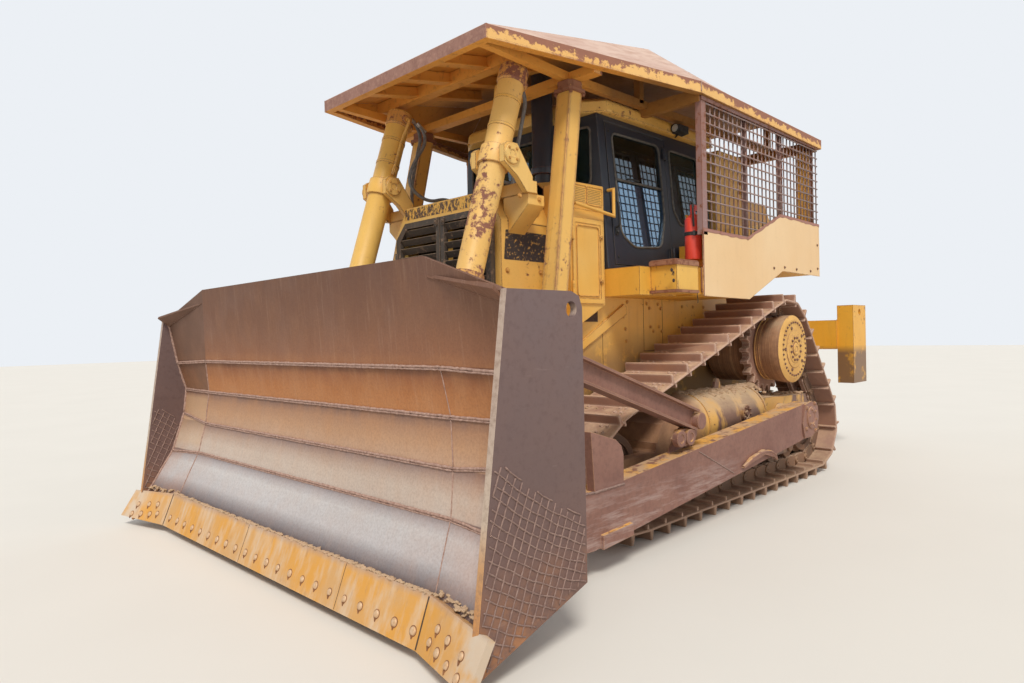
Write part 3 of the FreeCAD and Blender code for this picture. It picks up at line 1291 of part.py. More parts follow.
def rod_pin():
    """The rods' pins stand above the cross tube of the lower arms."""
    a = LOWER_PIN
    b = rear_of(LOWER_PIN)
    tube = (a[0] + (b[0] - a[0]) * ROD_PIN_SHARE, a[1] + (b[1] - a[1]) * ROD_PIN_SHARE)
    return tube, (tube[0], tube[1] + ROD_PIN_RISE)


def ripper_links():
    """Lower arms joined by a cross tube that the lift cylinders push."""
    arms = [link_arm(LOWER_PIN, rear_of(LOWER_PIN), sign * LOWER_ARM_Y, LINK_WIDTH, 130) for sign in (-1, 1)]
    mid, pin = rod_pin()
    tube = across(mid[0], mid[1], -LOWER_ARM_Y, LOWER_ARM_Y, 55)
    outline = [(mid[0] - 50, mid[1]), (mid[0] + 50, mid[1]), (pin[0] + 45, pin[1] + 10),
               (pin[0], pin[1] + 50), (pin[0] - 45, pin[1] + 10)]
    ears = []
    for near in (52.0, -72.0):
        ears += pair(slab_xz(outline, (RIPPER_LIFT_Y + near, RIPPER_LIFT_Y + near + 20)))
    return union(arms + [tube] + ears)


def ripper_tilt_links():
    return pair(link_arm(UPPER_PIN, rear_of(UPPER_PIN), TILT_Y, LINK_WIDTH, 110))


def ripper_beam():
    """Cross beam between the shank pockets, with the ears for both pairs of links."""
    inner = POCKET_OUT - POCKET_WIDTH
    front = RIPPER_BEAM_X[1]
    low, top = RIPPER_BEAM_Z
    lx, lz = rear_of(LOWER_PIN)
    hx, hz = rear_of(UPPER_PIN)
    lower_ear = [(front - 10, low), (lx - 75, lz - 20), (lx - 45, lz - 75), (lx + 30, lz - 80),
                 (lx + 80, lz - 20), (lx + 60, lz + 60), (front - 10, low + 210)]
    upper_ear = [(front - 10, top - 10), (hx + 40, hz - 70), (hx + 75, hz), (hx + 40, hz + 75),
                 (front - 60, hz + 20), (front - 190, top - 10)]
    pieces = [box(RIPPER_BEAM_X, (-inner, inner), RIPPER_BEAM_Z),
              box(RIPPER_BEAM_X, (-TILT_Y - 78, TILT_Y + 78), (top - 20, top + 2))]
    for y, (x, z), outline in ((LOWER_ARM_Y, (lx, lz), lower_ear), (TILT_Y, (hx, hz), upper_ear)):
        for near in EAR_NEAR:
            pieces += pair(slab_xz(outline, (y + near, y + near + EAR)))
        pieces += pair(across(x, z, y - PIN_HALF, y + PIN_HALF, RIPPER_PIN_R))
    return union(pieces).cut(pocket_block(0.0, POCKET_MID_LOW))


def pocket_block(y, foot):
    half = POCKET_WIDTH / 2
    return box((RIPPER_REAR, RIPPER_REAR + POCKET_DEPTH), (y - half, y + half), (foot, POCKET_Z[1]))


def shank_pocket(y, foot):
    """Upright pocket for one shank: a slot right through it, crossed by the shank's pin."""
    half = SHANK_SLOT[1] / 2
    x0 = RIPPER_REAR + SLOT_WALL
    slot = box((x0, x0 + SHANK_SLOT[0]), (y - half, y + half), (foot - 1, POCKET_Z[1] + 1))
    reach = POCKET_WIDTH / 2 + 1
    pin = across(RIPPER_REAR + SHANK_PIN_AT[0], SHANK_PIN_AT[1], y - reach, y + reach, SHANK_PIN_R)
    return pocket_block(y, foot).cut(slot).cut(pin)


def shank_pockets():
    outer = POCKET_OUT - POCKET_WIDTH / 2
    return pair(shank_pocket(outer, POCKET_Z[0])) + [shank_pocket(0.0, POCKET_MID_LOW)]


def ripper_cylinder(part):
    """Barrel or rod of one ripper lift cylinder."""
    y = RIPPER_LIFT_Y
    ax, az = RIPPER_BARREL_PIN
    bx, bz = rod_pin()[1]
    a = V(ax, y, az)
    run = V(bx, y, bz) - a
    reach = run.Length
    unit = run.normalize()

    def at(s):
        return a + unit * s

    if part == "barrel":
        tube = union([rod(at(120), at(760), 85), rod(at(55), at(125), 42)])
        eye = across(ax, az, y - 45, y + 45, 75)
        bore = rod(at(160), at(710), RIPPER_BORE_R)
        hole = rod(at(700), at(770), RIPPER_ROD_R + SLIDE)
        seat = across(ax, az, y - 46, y + 46, RIPPER_PIN_R + FIT)
        return union([tube, eye]).cut(bore).cut(hole).cut(seat)
    shaft = rod(at(RIPPER_PISTON_AT), at(reach - 60), RIPPER_ROD_R)
    piston = rod(at(RIPPER_PISTON_AT), at(RIPPER_PISTON_AT + 50), RIPPER_BORE_R - SLIDE)
    eye = across(bx, bz, y - 40, y + 40, 70)
    hole = across(bx, bz, y - 41, y + 41, 42)
    return union([shaft, piston, eye]).cut(hole)


os.makedirs("parts", exist_ok=True)

left_track = track()
save("track_left", left_track)
save("track_right", mirrored(left_track))
save("sprockets", pair(sprocket()))
save("final_drives", pair(final_drive()))
save("idlers", [s for x in IDLER_REACH for s in pair(idler(x))])
save("rollers", [s for shape in rollers() for s in pair(shape)])
save("track_frames", pair(track_frame()))
save("cross_shafts", cross_shafts())
save("main_frame", main_frame())
save("engine_block", engine_block())
save("radiator_guard", radiator_guard())
save("radiator_core", radiator_core())
save("grille_door_left", grille_door(1))
save("grille_door_right", grille_door(-1))
save("hood", hood())
save("side_boxes", pair(side_box()))
save("engine_door_left", engine_door())
save("engine_door_right", mirrored(engine_door()))
save("exhaust_stack", exhaust_stack())
save("cab_shell", cab_shell())
save("cab_glass", cab_glass())
save("cab_roof", cab_roof())
left_door = cab_door()
save("cab_door_left", left_door)
save("cab_door_right", mirrored(left_door))
left_pane = door_glass()
save("door_glass_left", left_pane)
save("door_glass_right", mirrored(left_pane))
save("operator_seat", operator_seat())
save("handrails", pair(handrail()))
save("work_lamps", pair(work_lamp()))
save("fenders", pair(fender()))
save("extinguisher_bracket", extinguisher_bracket())
save("fire_extinguisher", extinguisher())
save("fuel_tank", fuel_tank())
save("guard_panels", pair(guard_panel()))
save("mesh_guards", pair(mesh_guard()))
save("canopy_roof", canopy_roof())
save("canopy_posts", canopy_posts())
save("lift_yokes", pair(lift_yoke()))
barrel = lift_barrel()
save("lift_barrel_left", barrel)
save("lift_barrel_right", mirrored(barrel))
ram = lift_rod()
save("lift_rod_left", ram)
save("lift_rod_right", mirrored(ram))
save("mouldboard", mouldboard())
save("blade_end_plates", pair(end_plate()))
save("cutting_edges", cutting_edges())
save("push_arms", pair(push_arm()))
save("braces", pair(brace()))
save("ripper_bracket", ripper_bracket())
save("ripper_links", ripper_links())
save("ripper_tilt_links", ripper_tilt_links())
save("ripper_beam", ripper_beam())
save("shank_pockets", shank_pockets())
save("ripper_lift_barrels", pair(ripper_cylinder("barrel")))
save("ripper_lift_rods", pair(ripper_cylinder("rod")))
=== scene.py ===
import json
import math
import random

import bmesh
import bpy
from mathutils import Matrix, Vector


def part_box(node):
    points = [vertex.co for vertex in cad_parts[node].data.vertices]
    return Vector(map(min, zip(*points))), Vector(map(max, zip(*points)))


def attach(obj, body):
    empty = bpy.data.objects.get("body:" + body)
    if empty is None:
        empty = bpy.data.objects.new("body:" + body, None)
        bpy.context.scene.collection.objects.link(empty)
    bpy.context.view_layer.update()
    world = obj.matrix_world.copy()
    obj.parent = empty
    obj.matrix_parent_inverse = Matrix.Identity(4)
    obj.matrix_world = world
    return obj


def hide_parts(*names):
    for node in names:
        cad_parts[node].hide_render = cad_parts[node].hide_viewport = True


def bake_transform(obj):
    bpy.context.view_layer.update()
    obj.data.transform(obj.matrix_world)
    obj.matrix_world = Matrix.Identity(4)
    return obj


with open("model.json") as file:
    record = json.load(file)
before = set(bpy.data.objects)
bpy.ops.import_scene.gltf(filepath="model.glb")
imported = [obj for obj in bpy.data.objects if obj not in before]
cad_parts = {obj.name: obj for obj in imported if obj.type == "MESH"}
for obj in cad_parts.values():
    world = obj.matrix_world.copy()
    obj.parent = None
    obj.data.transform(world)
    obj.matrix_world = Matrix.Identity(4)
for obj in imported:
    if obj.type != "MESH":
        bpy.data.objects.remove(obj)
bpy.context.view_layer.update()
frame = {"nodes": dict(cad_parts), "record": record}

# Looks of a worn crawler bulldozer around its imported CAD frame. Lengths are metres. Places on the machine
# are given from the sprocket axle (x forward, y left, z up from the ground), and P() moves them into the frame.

NODES = frame["nodes"]
AXLE_X = sum(corner.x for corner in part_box("sprockets")) / 2
RNG = random.Random(71)


def P(x, y, z):
    """A place measured from the sprocket axle, in the frame."""
    return Vector((x + AXLE_X, y, z))


# Node trees


def srgb(red, green, blue):
    """A colour written as it looks, 0 to 255, for a shader."""
    def linear(value):
        value /= 255
        return value / 12.92 if value <= 0.04045 else ((value + 0.055) / 1.055) ** 2.4
    return (linear(red), linear(green), linear(blue), 1.0)


class Tree:
    """A material's node tree with short calls for the nodes used here."""

    def __init__(self, name):
        self.material = bpy.data.materials.new(name)
        self.material.use_nodes = True
        tree = self.material.node_tree
        self.nodes = tree.nodes
        self.links = tree.links
        self.nodes.clear()
        self.shader = self.nodes.new("ShaderNodeBsdfPrincipled")
        output = self.nodes.new("ShaderNodeOutputMaterial")
        self.links.new(self.shader.outputs[0], output.inputs[0])
        self.place = self.nodes.new("ShaderNodeTexCoord").outputs["Object"]
        geometry = self.nodes.new("ShaderNodeNewGeometry")
        self.facing = geometry.outputs["Normal"]

    def join(self, socket, value):
        if isinstance(value, bpy.types.NodeSocket):
            self.links.new(value, socket)
        else:
            socket.default_value = value

    def node(self, kind, values=(), **settings):
        made = self.nodes.new("ShaderNode" + kind)
        for key, value in settings.items():
            setattr(made, key, value)
        for key, value in dict(values).items():
            self.join(made.inputs[key], value)
        return made

    def math(self, operation, a, b=0.0):
        return self.node("Math", {0: a, 1: b}, operation=operation).outputs[0]

    def noise(self, scale, detail=4.0, rough=0.55, stretch=(1, 1, 1), turn=(0, 0, 0)):
        place = self.place
        if stretch != (1, 1, 1) or turn != (0, 0, 0):
            place = self.node("Mapping", {"Vector": place, "Scale": stretch, "Rotation": turn}).outputs[0]
        values = {"Vector": place, "Scale": scale, "Detail": detail, "Roughness": rough}
        return self.node("TexNoise", values).outputs["Fac"]

    def band(self, value, low, high, to_low=0.0, to_high=1.0):
        values = {"Value": value, "From Min": low, "From Max": high, "To Min": to_low, "To Max": to_high}
        return self.node("MapRange", values).outputs[0]

    def mix(self, share, a, b, blend="MIX"):
        made = self.nodes.new("ShaderNodeMix")
        made.data_type = "RGBA"
        made.blend_type = blend
        self.join(made.inputs[0], share)
        self.join(made.inputs[6], a)
        self.join(made.inputs[7], b)
        return made.outputs[2]

    def ramp(self, value, stops):
        made = self.nodes.new("ShaderNodeValToRGB")
        self.links.new(value, made.inputs[0])
        elements = made.color_ramp.elements
        while len(elements) < len(stops):
            elements.new(1.0)
        for element, (at, shade) in zip(elements, stops):
            element.position = at
            element.color = shade
        return made.outputs[0]

    def axis(self, name, vector=None):
        return self.node("SeparateXYZ", {0: vector or self.place}).outputs[name]

    def edges(self, radius):
        """1 on sharp edges, 0 on flats."""
        soft = self.node("Bevel", {"Radius": radius}, samples=4).outputs[0]
        along = self.node("VectorMath", {0: soft, 1: self.facing}, operation="DOT_PRODUCT").outputs["Value"]
        return self.band(along, 0.995, 0.86)

    def bump(self, height, distance, strength=1.0):
        values = {"Height": height, "Distance": distance, "Strength": strength}
        self.join(self.shader.inputs["Normal"], self.node("Bump", values).outputs[0])

    def finish(self, colour, rough, metallic=0.0):
        self.join(self.shader.inputs["Base Color"], colour)
        self.join(self.shader.inputs["Roughness"], rough)
        self.shader.inputs["Metallic"].default_value = metallic
        return self.material


RUST_DARK = srgb(92, 58, 46)
RUST_LIGHT = srgb(152, 96, 66)
DUST = srgb(196, 168, 134)


def shade_of(colour, share):
    return [c * share for c in colour[:3]] + [1.0]


def weathered(name, paint, faded, chips=0.62, edge=0.012, edge_share=0.34, streaks=0.25, dust=0.35,
              rust=(RUST_DARK, RUST_LIGHT), gloss=0.45, grime=0.3, patches=0.45, low=None, low_shade=DUST):
    """Paint that fades in patches, chips to rust at edges, runs in streaks and holds dust on top."""
    t = Tree(name)
    colour = t.mix(t.band(t.noise(0.8, 3), 0.35, 0.68), paint, faded)
    tone = t.band(t.noise(5.0, 6, 0.6), 0.3, 0.75, 0.0, grime)
    colour = t.mix(tone, colour, shade_of(paint, 0.72))
    run = t.noise(5.0, 6, 0.62, stretch=(3.2, 3.2, 0.28))
    colour = t.mix(t.band(run, 0.55, 0.78, 0.0, streaks), colour, rust[1])
    speck = t.noise(95.0, 4, 0.7)
    colour = t.mix(t.band(speck, 0.60, 0.68, 0.0, 0.35), colour, shade_of(paint, 0.5))
    worn = t.edges(edge)
    fine = t.noise(17.0, 10, 0.68)
    patch = t.noise(1.9, 3, 0.5)
    score = t.math("ADD", fine, t.math("MULTIPLY", worn, edge_share))
    score = t.math("ADD", score, t.math("MULTIPLY", t.math("SUBTRACT", patch, 0.5), patches))
    chip = t.band(score, chips, chips + 0.035)
    iron = t.mix(t.noise(38.0, 6, 0.7), rust[0], rust[1])
    halo = t.band(score, chips - 0.05, chips, 0.0, 0.35)
    colour = t.mix(halo, colour, rust[1])
    colour = t.mix(chip, colour, iron)
    up = t.band(t.axis("Z", t.facing), 0.35, 0.95)
    lying = t.math("MULTIPLY", up, t.band(t.noise(7.0, 6, 0.6), 0.30, 0.66, 0.15, 1.0))
    cover = t.math("MULTIPLY", lying, dust)
    if low:
        foot = t.band(t.axis("Z"), low[1], low[0])
        ragged = t.math("MULTIPLY", foot, t.band(t.noise(6.0, 8, 0.65), 0.30, 0.45))
        colour = t.mix(t.math("MULTIPLY", ragged, 0.9), colour, low_shade)
    colour = t.mix(cover, colour, DUST)
    rough = t.math("MAXIMUM", t.band(chip, 0, 1, gloss, 0.85), t.band(cover, 0, 1, 0.0, 0.95))
    t.bump(t.math("SUBTRACT", t.math("MULTIPLY", t.noise(120.0, 3), 0.25), chip), 0.0015, 0.6)
    return t.finish(colour, rough)


def plates(name, bands, fleck, scratch, gloss, stain=None, turn=(0.6, 0, 0)):
    """Worn steel in plates: each band runs from its own foot colour to its head colour, sharp at the folds; the darker
    ends of the bands stand for painted shade next to the folds, and where a stain is given the far wing gets painted
    shade high up.
    """
    t = Tree(name)
    low = bands[0][0]
    high = bands[-1][0]
    stops = [((at - low) / (high - low), shade) for at, shade in bands]
    height = t.math("ADD", t.axis("Z"), t.band(t.noise(7.0, 4), 0.2, 0.8, -0.004, 0.004))
    # The ramp carries the bands' own colours and their painted shade next to the folds.
    colour = t.ramp(t.band(height, low, high), stops)
    cloud = t.noise(1.5, 6, 0.62, stretch=(1, 0.5, 1.6))
    colour = t.mix(t.band(cloud, 0.30, 0.72, 0.0, 0.42), colour, t.mix(0.5, colour, fleck[0]))
    run = t.noise(6.0, 8, 0.66, stretch=(2.0, 1.1, 0.5), turn=turn)
    rusty = t.math("MULTIPLY", t.band(run, 0.42, 0.74, 0.0, 0.50), t.band(t.axis("Z"), 0.6, 1.15, 0.22, 0.9))
    rusty = t.math("MULTIPLY", rusty, t.band(t.axis("Z"), 1.36, 1.48, 1.0, 0.25))
    colour = t.mix(rusty, colour, fleck[1])
    for scale, angle, share in ((11.0, turn[0], scratch), (17.0, -turn[0] * 0.7, scratch * 0.7)):
        line = t.noise(scale, 4, 0.6, stretch=(1.0, 4.0, 0.22), turn=(angle, 0, 0))
        colour = t.mix(t.band(line, 0.58, 0.72, 0.0, share), colour, srgb(216, 184, 156))
    fine = t.noise(70.0, 6, 0.72)
    colour = t.mix(t.band(fine, 0.42, 0.72, 0.0, 0.28), colour, RUST_DARK)
    if stain:
        reach, shade = stain
        side = t.math("ABSOLUTE", t.axis("Y"))
        share = t.math("MULTIPLY", t.band(side, reach[0], reach[1]), t.band(t.noise(3.5, 7, 0.65), 0.36, 0.6))
        share = t.math("MULTIPLY", share, t.band(t.axis("Z"), 1.3, 0.5))
        colour = t.mix(t.math("MULTIPLY", share, 0.22), colour, shade)
        # Painted shade: the wing on the negative-y side, beyond the fold line, is darkened above the fourth fold; lower
        # down it gets paler cloudy patches.
        fold = t.math("ADD", t.math("MULTIPLY", t.axis("Z"), 0.135), -1.728)
        wing = t.band(t.math("SUBTRACT", fold, t.axis("Y")), 0.0, 0.01)
        cloud = t.band(t.noise(3.0, 6, 0.6), 0.3, 0.7, 0.45, 0.85)
        high = t.math("MULTIPLY", t.math("MULTIPLY", wing, t.band(t.axis("Z"), 1.13, 1.15)), cloud)
        colour = t.mix(high, colour, srgb(104, 78, 64))
        middle = t.math("MULTIPLY", t.band(t.axis("Z"), 0.66, 0.70), t.band(t.axis("Z"), 1.11, 1.07))
        middle = t.math("MULTIPLY", t.math("MULTIPLY", wing, middle), cloud)
        colour = t.mix(t.math("MULTIPLY", middle, 0.6), colour, srgb(204, 170, 134))
    t.bump(t.math("ADD", fine, t.math("MULTIPLY", run, 0.7)), 0.0025, 0.5)
    return t.finish(colour, t.band(cloud, 0.3, 0.7, *gloss), 0.12)


def end_plate_steel():
    """Purple-brown plate with a pale front edge that turns orange low down; the pale front edge is wear with a painted
    highlight.
    """
    t = Tree("end_plate_worn_edge_highlight")
    tone = t.noise(2.4, 7, 0.62)
    colour = t.ramp(t.band(t.axis("Z"), 0.05, 1.75), [(0.0, srgb(126, 92, 76)), (0.22, srgb(112, 84, 76)),
                                                      (0.5, srgb(106, 84, 80)), (1.0, srgb(114, 94, 92))])
    colour = t.mix(t.band(tone, 0.3, 0.75, 0.0, 0.5), colour, srgb(128, 102, 94))
    colour = t.mix(t.band(t.noise(24.0, 8, 0.7), 0.5, 0.75, 0.0, 0.5), colour, srgb(84, 62, 60))
    low = t.math("MULTIPLY", t.band(t.axis("Z"), 0.55, 0.1), t.band(t.noise(5.0, 7, 0.65), 0.4, 0.62))
    colour = t.mix(low, colour, srgb(176, 120, 78))
    scrape = t.noise(9.0, 3, 0.7, stretch=(0.3, 1.0, 3.0), turn=(0, 0.7, 0))
    colour = t.mix(t.band(scrape, 0.68, 0.76, 0.0, 0.25), colour, srgb(156, 134, 126))
    # Forward-facing faces take the lip colour: worn steel with a painted highlight, orange low down.
    front = t.band(t.axis("X", t.facing), 0.6, 0.9)
    lip = t.ramp(t.band(t.axis("Z"), 0.2, 1.2), [(0.0, srgb(202, 138, 74)), (0.35, srgb(196, 150, 104)),
                                                 (0.55, srgb(196, 176, 156)), (1.0, srgb(184, 162, 146))])
    lip = t.mix(t.band(t.noise(30.0, 6, 0.7), 0.45, 0.7, 0.0, 0.6), lip, srgb(132, 104, 88))
    colour = t.mix(front, colour, lip)
    t.bump(t.noise(45.0, 8, 0.7), 0.002, 0.5)
    return t.finish(colour, t.band(tone, 0.3, 0.7, 0.5, 0.8), 0.1)


def edge_rust():
    """Orange rust with pale wiped streaks, paler out at the end bits' tips."""
    t = Tree("cutting_edge_rust")
    colour = t.mix(t.band(t.noise(2.4, 6, 0.6), 0.40, 0.60), srgb(206, 160, 104), srgb(216, 156, 70))
    run = t.noise(6.0, 6, 0.65, stretch=(1.0, 1.6, 0.35))
    colour = t.mix(t.band(run, 0.46, 0.66, 0.0, 0.7), colour, srgb(214, 190, 162))
    dark = t.noise(11.0, 7, 0.7, stretch=(1.0, 1.8, 0.4))
    colour = t.mix(t.band(dark, 0.56, 0.72, 0.0, 0.5), colour, srgb(168, 124, 90))
    tip = t.band(t.math("ABSOLUTE", t.axis("Y")), 1.95, 2.15)
    tip = t.math("MULTIPLY", tip, t.band(t.noise(6.0, 6), 0.32, 0.55))
    colour = t.mix(t.math("MULTIPLY", tip, 0.8), colour, srgb(206, 192, 174))
    head = t.band(t.axis("Z"), 0.27, 0.31, 0.0, 0.7)
    colour = t.mix(head, colour, srgb(168, 146, 136))
    t.bump(t.math("ADD", run, t.noise(60.0, 6, 0.7)), 0.002, 0.5)
    return t.finish(colour, t.band(run, 0.3, 0.7, 0.8, 0.55), 0.05)


def canopy_finish():
    """Bleached rust on top, brown front lip, yellow sides rusting from their top edge, orange below, with painted shade
    darkening the underside towards the rear.
    """
    t = Tree("canopy_worn_and_shaded")
    up = t.axis("Z", t.facing)
    ahead = t.axis("X", t.facing)
    tone = t.noise(1.6, 6, 0.6)
    fine = t.noise(16.0, 9, 0.68)
    under = t.mix(t.band(tone, 0.3, 0.7), srgb(232, 164, 70), srgb(218, 148, 58))
    under = t.mix(t.band(fine, 0.55, 0.68, 0.0, 0.5), under, srgb(150, 96, 56))
    # Painted shade: behind the cross beam the underside turns dark brown, where the roof shades it.
    painted_rear_shade = t.math("MULTIPLY", t.band(t.axis("X"), 2.66 + AXLE_X, 2.25 + AXLE_X), t.band(tone, 0.25, 0.6, 0.6, 0.9))
    under = t.mix(t.math("MULTIPLY", painted_rear_shade, 0.85), under, srgb(98, 66, 40))
    top = t.mix(t.band(tone, 0.3, 0.7), srgb(196, 162, 146), srgb(214, 186, 168))
    top = t.mix(t.band(t.noise(9.0, 7, 0.65, stretch=(0.4, 2.0, 1.0)), 0.45, 0.7, 0.0, 0.6), top, srgb(168, 122, 100))
    front = t.mix(t.band(fine, 0.35, 0.7), srgb(160, 118, 102), srgb(134, 96, 84))
    front = t.mix(t.band(t.noise(40.0, 5), 0.5, 0.7, 0.0, 0.5), front, srgb(186, 146, 126))
    rise = t.math("MULTIPLY", t.math("SUBTRACT", t.axis("X"), 1.78 + AXLE_X), 0.0113)
    drop = t.math("SUBTRACT", t.math("ADD", rise, 3.607), t.axis("Z"))
    side = t.mix(t.band(tone, 0.3, 0.7), srgb(238, 192, 122), srgb(230, 174, 98))
    score = t.math("ADD", t.math("ADD", t.math("MULTIPLY", fine, 0.6), t.math("MULTIPLY", tone, 0.55)),
                   t.band(drop, 0.0, 0.085, 0.19, -0.01))
    score = t.math("ADD", score, t.math("MULTIPLY", t.edges(0.014), 0.14))
    side = t.mix(t.band(score, 0.635, 0.665), side, t.mix(fine, srgb(128, 82, 66), srgb(172, 118, 92)))
    rim = t.math("MULTIPLY", t.band(t.math("ABSOLUTE", t.axis("Y", t.facing)), 0.7, 0.8),
                 t.band(t.math("ABSOLUTE", t.axis("Y")), 1.0, 1.02))
    rim = t.math("MAXIMUM", rim, t.band(t.axis("X"), -0.70 + AXLE_X, -0.71 + AXLE_X))
    colour = t.mix(rim, under, side)
    nose = t.math("MULTIPLY", t.band(ahead, 0.75, 0.85), t.band(t.axis("X"), 3.74 + AXLE_X, 3.75 + AXLE_X))
    colour = t.mix(nose, colour, front)
    colour = t.mix(t.band(up, 0.2, 0.35), colour, top)
    t.bump(t.math("ADD", fine, t.noise(60.0, 5)), 0.002, 0.4)
    return t.finish(colour, t.band(fine, 0.3, 0.7, 0.6, 0.85))


def frame_finish():
    """Yellow housings under wavy dark drips, with soil on what faces up."""
    t = Tree("track_frame_grimy")
    paint = t.mix(t.band(t.noise(1.8, 4), 0.35, 0.65), srgb(222, 170, 84), srgb(206, 160, 98))
    drip = t.noise(2.6, 5, 0.6, stretch=(1.0, 0.4, 0.45), turn=(0, 0.35, 0))
    paint = t.mix(t.band(drip, 0.50, 0.56), paint, t.mix(t.noise(14.0, 6), srgb(104, 76, 68), srgb(138, 104, 84)))
    chips = t.math("ADD", t.noise(15.0, 9, 0.68), t.math("MULTIPLY", t.edges(0.015), 0.3))
    paint = t.mix(t.band(chips, 0.62, 0.66), paint, srgb(118, 80, 62))
    clod = t.noise(5.0, 9, 0.7)
    up = t.band(t.axis("Z", t.facing), 0.25, 0.85, 0.0, 1.0)
    cover = t.math("MULTIPLY", up, t.band(clod, 0.28, 0.5))
    soil = t.mix(t.noise(22.0, 6, 0.7), srgb(176, 146, 112), srgb(206, 178, 144))
    colour = t.mix(cover, paint, soil)
    fork = t.math("MULTIPLY", t.band(t.axis("X"), 1.60 + AXLE_X, 1.74 + AXLE_X), 0.9)
    colour = t.mix(fork, colour, t.mix(t.band(clod, 0.35, 0.65), srgb(138, 96, 74), srgb(178, 134, 100)))
    low = t.math("MULTIPLY", t.band(t.axis("Z"), 0.62, 0.35), 0.75)
    colour = t.mix(low, colour, srgb(132, 104, 88))
    t.bump(t.math("ADD", t.math("MULTIPLY", cover, clod), t.math("MULTIPLY", t.noise(70.0, 5), 0.2)), 0.008, 0.6)
    return t.finish(colour, t.band(cover, 0.0, 1.0, 0.6, 0.95))


def push_finish():
    """Red-brown arm: scraped pale low down, its old yellow paint and dust left on top."""
    t = Tree("push_arm_worn")
    tone = t.noise(2.2, 7, 0.62)
    colour = t.mix(t.band(tone, 0.3, 0.7), srgb(150, 108, 92), srgb(128, 90, 79))
    colour = t.mix(t.band(t.noise(28.0, 8, 0.7), 0.46, 0.72, 0.0, 0.5), colour, srgb(100, 70, 62))
    kept = t.math("MULTIPLY", t.band(t.axis("Z"), 1.34, 1.44), t.band(t.noise(5.0, 7, 0.65), 0.50, 0.56))
    colour = t.mix(kept, colour, srgb(218, 152, 72))
    scrape = t.noise(7.0, 5, 0.7, stretch=(0.35, 1.0, 3.2), turn=(0, -0.35, 0))
    low = t.band(t.axis("Z"), 0.62, 0.38)
    share = t.math("MULTIPLY", low, t.band(scrape, 0.46, 0.64))
    share = t.math("MULTIPLY", share, t.band(t.axis("X"), 0.2, 0.9))
    colour = t.mix(t.math("MULTIPLY", share, 0.55), colour, srgb(188, 166, 158))
    worn = t.math("ADD", t.math("MULTIPLY", t.edges(0.012), 0.35), t.math("MULTIPLY", scrape, 0.4))
    colour = t.mix(t.band(worn, 0.42, 0.52, 0.0, 0.5), colour, srgb(196, 152, 108))
    up = t.band(t.axis("Z", t.facing), 0.5, 0.9)
    top = t.mix(t.band(t.noise(5.0, 7, 0.65), 0.40, 0.56), srgb(222, 164, 78), srgb(196, 160, 124))
    top = t.mix(t.band(t.noise(12.0, 7, 0.65), 0.52, 0.62), top, srgb(138, 96, 80))
    colour = t.mix(up, colour, top)
    t.bump(t.math("ADD", t.noise(60.0, 7, 0.7), scrape), 0.002, 0.5)
    return t.finish(colour, t.band(tone, 0.3, 0.7, 0.55, 0.8), 0.05)


def drive_finish():
    """Yellow worn faces, and sides that dust and rust have banded brown."""
    t = Tree("final_drive_worn")
    flat = t.band(t.math("ABSOLUTE", t.axis("Y", t.facing)), 0.55, 0.8)
    face = t.mix(t.band(t.noise(4.0, 5), 0.3, 0.7), srgb(226, 178, 102), srgb(208, 158, 86))
    fine = t.noise(20.0, 9, 0.7)
    score = t.math("ADD", fine, t.math("MULTIPLY", t.edges(0.010), 0.28))
    face = t.mix(t.band(score, 0.60, 0.65), face, t.mix(fine, srgb(120, 78, 58), srgb(166, 114, 84)))
    band = t.node("TexNoise", {"Vector": t.place, "Scale": 30.0, "Detail": 2.0})
    along = t.node("Mapping", {"Vector": t.place, "Scale": (0.4, 34.0, 0.4)}).outputs[0]
    t.join(band.inputs["Vector"], along)
    t.join(band.inputs["Scale"], 1.0)
    side = t.ramp(band.outputs["Fac"], [(0.30, srgb(124, 88, 66)), (0.45, srgb(176, 130, 94)),
                                        (0.55, srgb(150, 108, 78)), (0.68, srgb(196, 152, 112))])
    side = t.mix(t.band(fine, 0.4, 0.7, 0.0, 0.5), side, srgb(112, 80, 64))
    up = t.band(t.axis("Z", t.facing), 0.2, 0.9, 0.0, 0.7)
    side = t.mix(t.math("MULTIPLY", up, t.band(t.noise(9.0, 7), 0.35, 0.6)), side, DUST)
    t.bump(t.math("ADD", fine, band.outputs["Fac"]), 0.002, 0.5)
    return t.finish(t.mix(flat, side, face), 0.75)


def dusty_steel(name, steel, worn, dust_share=0.8, ground=0.0, edge=0.012):
    """Track and roller steel: worn on edges, dust packed on what faces up and lies low."""
    t = Tree(name)
    colour = t.mix(t.noise(9.0, 8, 0.65), steel, shade_of(steel, 0.62))
    orange = t.band(t.noise(3.0, 6, 0.6), 0.45, 0.7, 0.0, 0.5)
    colour = t.mix(orange, colour, srgb(170, 118, 84))
    colour = t.mix(t.math("MULTIPLY", t.edges(edge), 0.75), colour, worn)
    clod = t.noise(6.0, 9, 0.68)
    up = t.band(t.axis("Z", t.facing), 0.1, 0.9, 0.10, 1.0)
    cover = t.math("MULTIPLY", up, t.band(clod, 0.34, 0.60, 0.0, dust_share))
    colour = t.mix(cover, colour, t.mix(t.noise(25.0, 5), srgb(182, 148, 118), srgb(212, 182, 152)))
    if ground:
        low = t.band(t.axis("Z"), ground, 0.0, 0.0, 0.65)
        colour = t.mix(low, colour, srgb(150, 122, 96))
    t.bump(t.math("ADD", clod, t.math("MULTIPLY", t.noise(70.0, 5, 0.7), 0.3)), 0.005, 0.5)
    return t.finish(colour, t.band(clod, 0.3, 0.7, 0.72, 0.95))


YELLOW = srgb(232, 174, 74)
PALE_YELLOW = srgb(238, 198, 120)
DEEP_YELLOW = srgb(228, 164, 52)
PURPLE_RUST = (srgb(112, 70, 58), srgb(160, 106, 84))

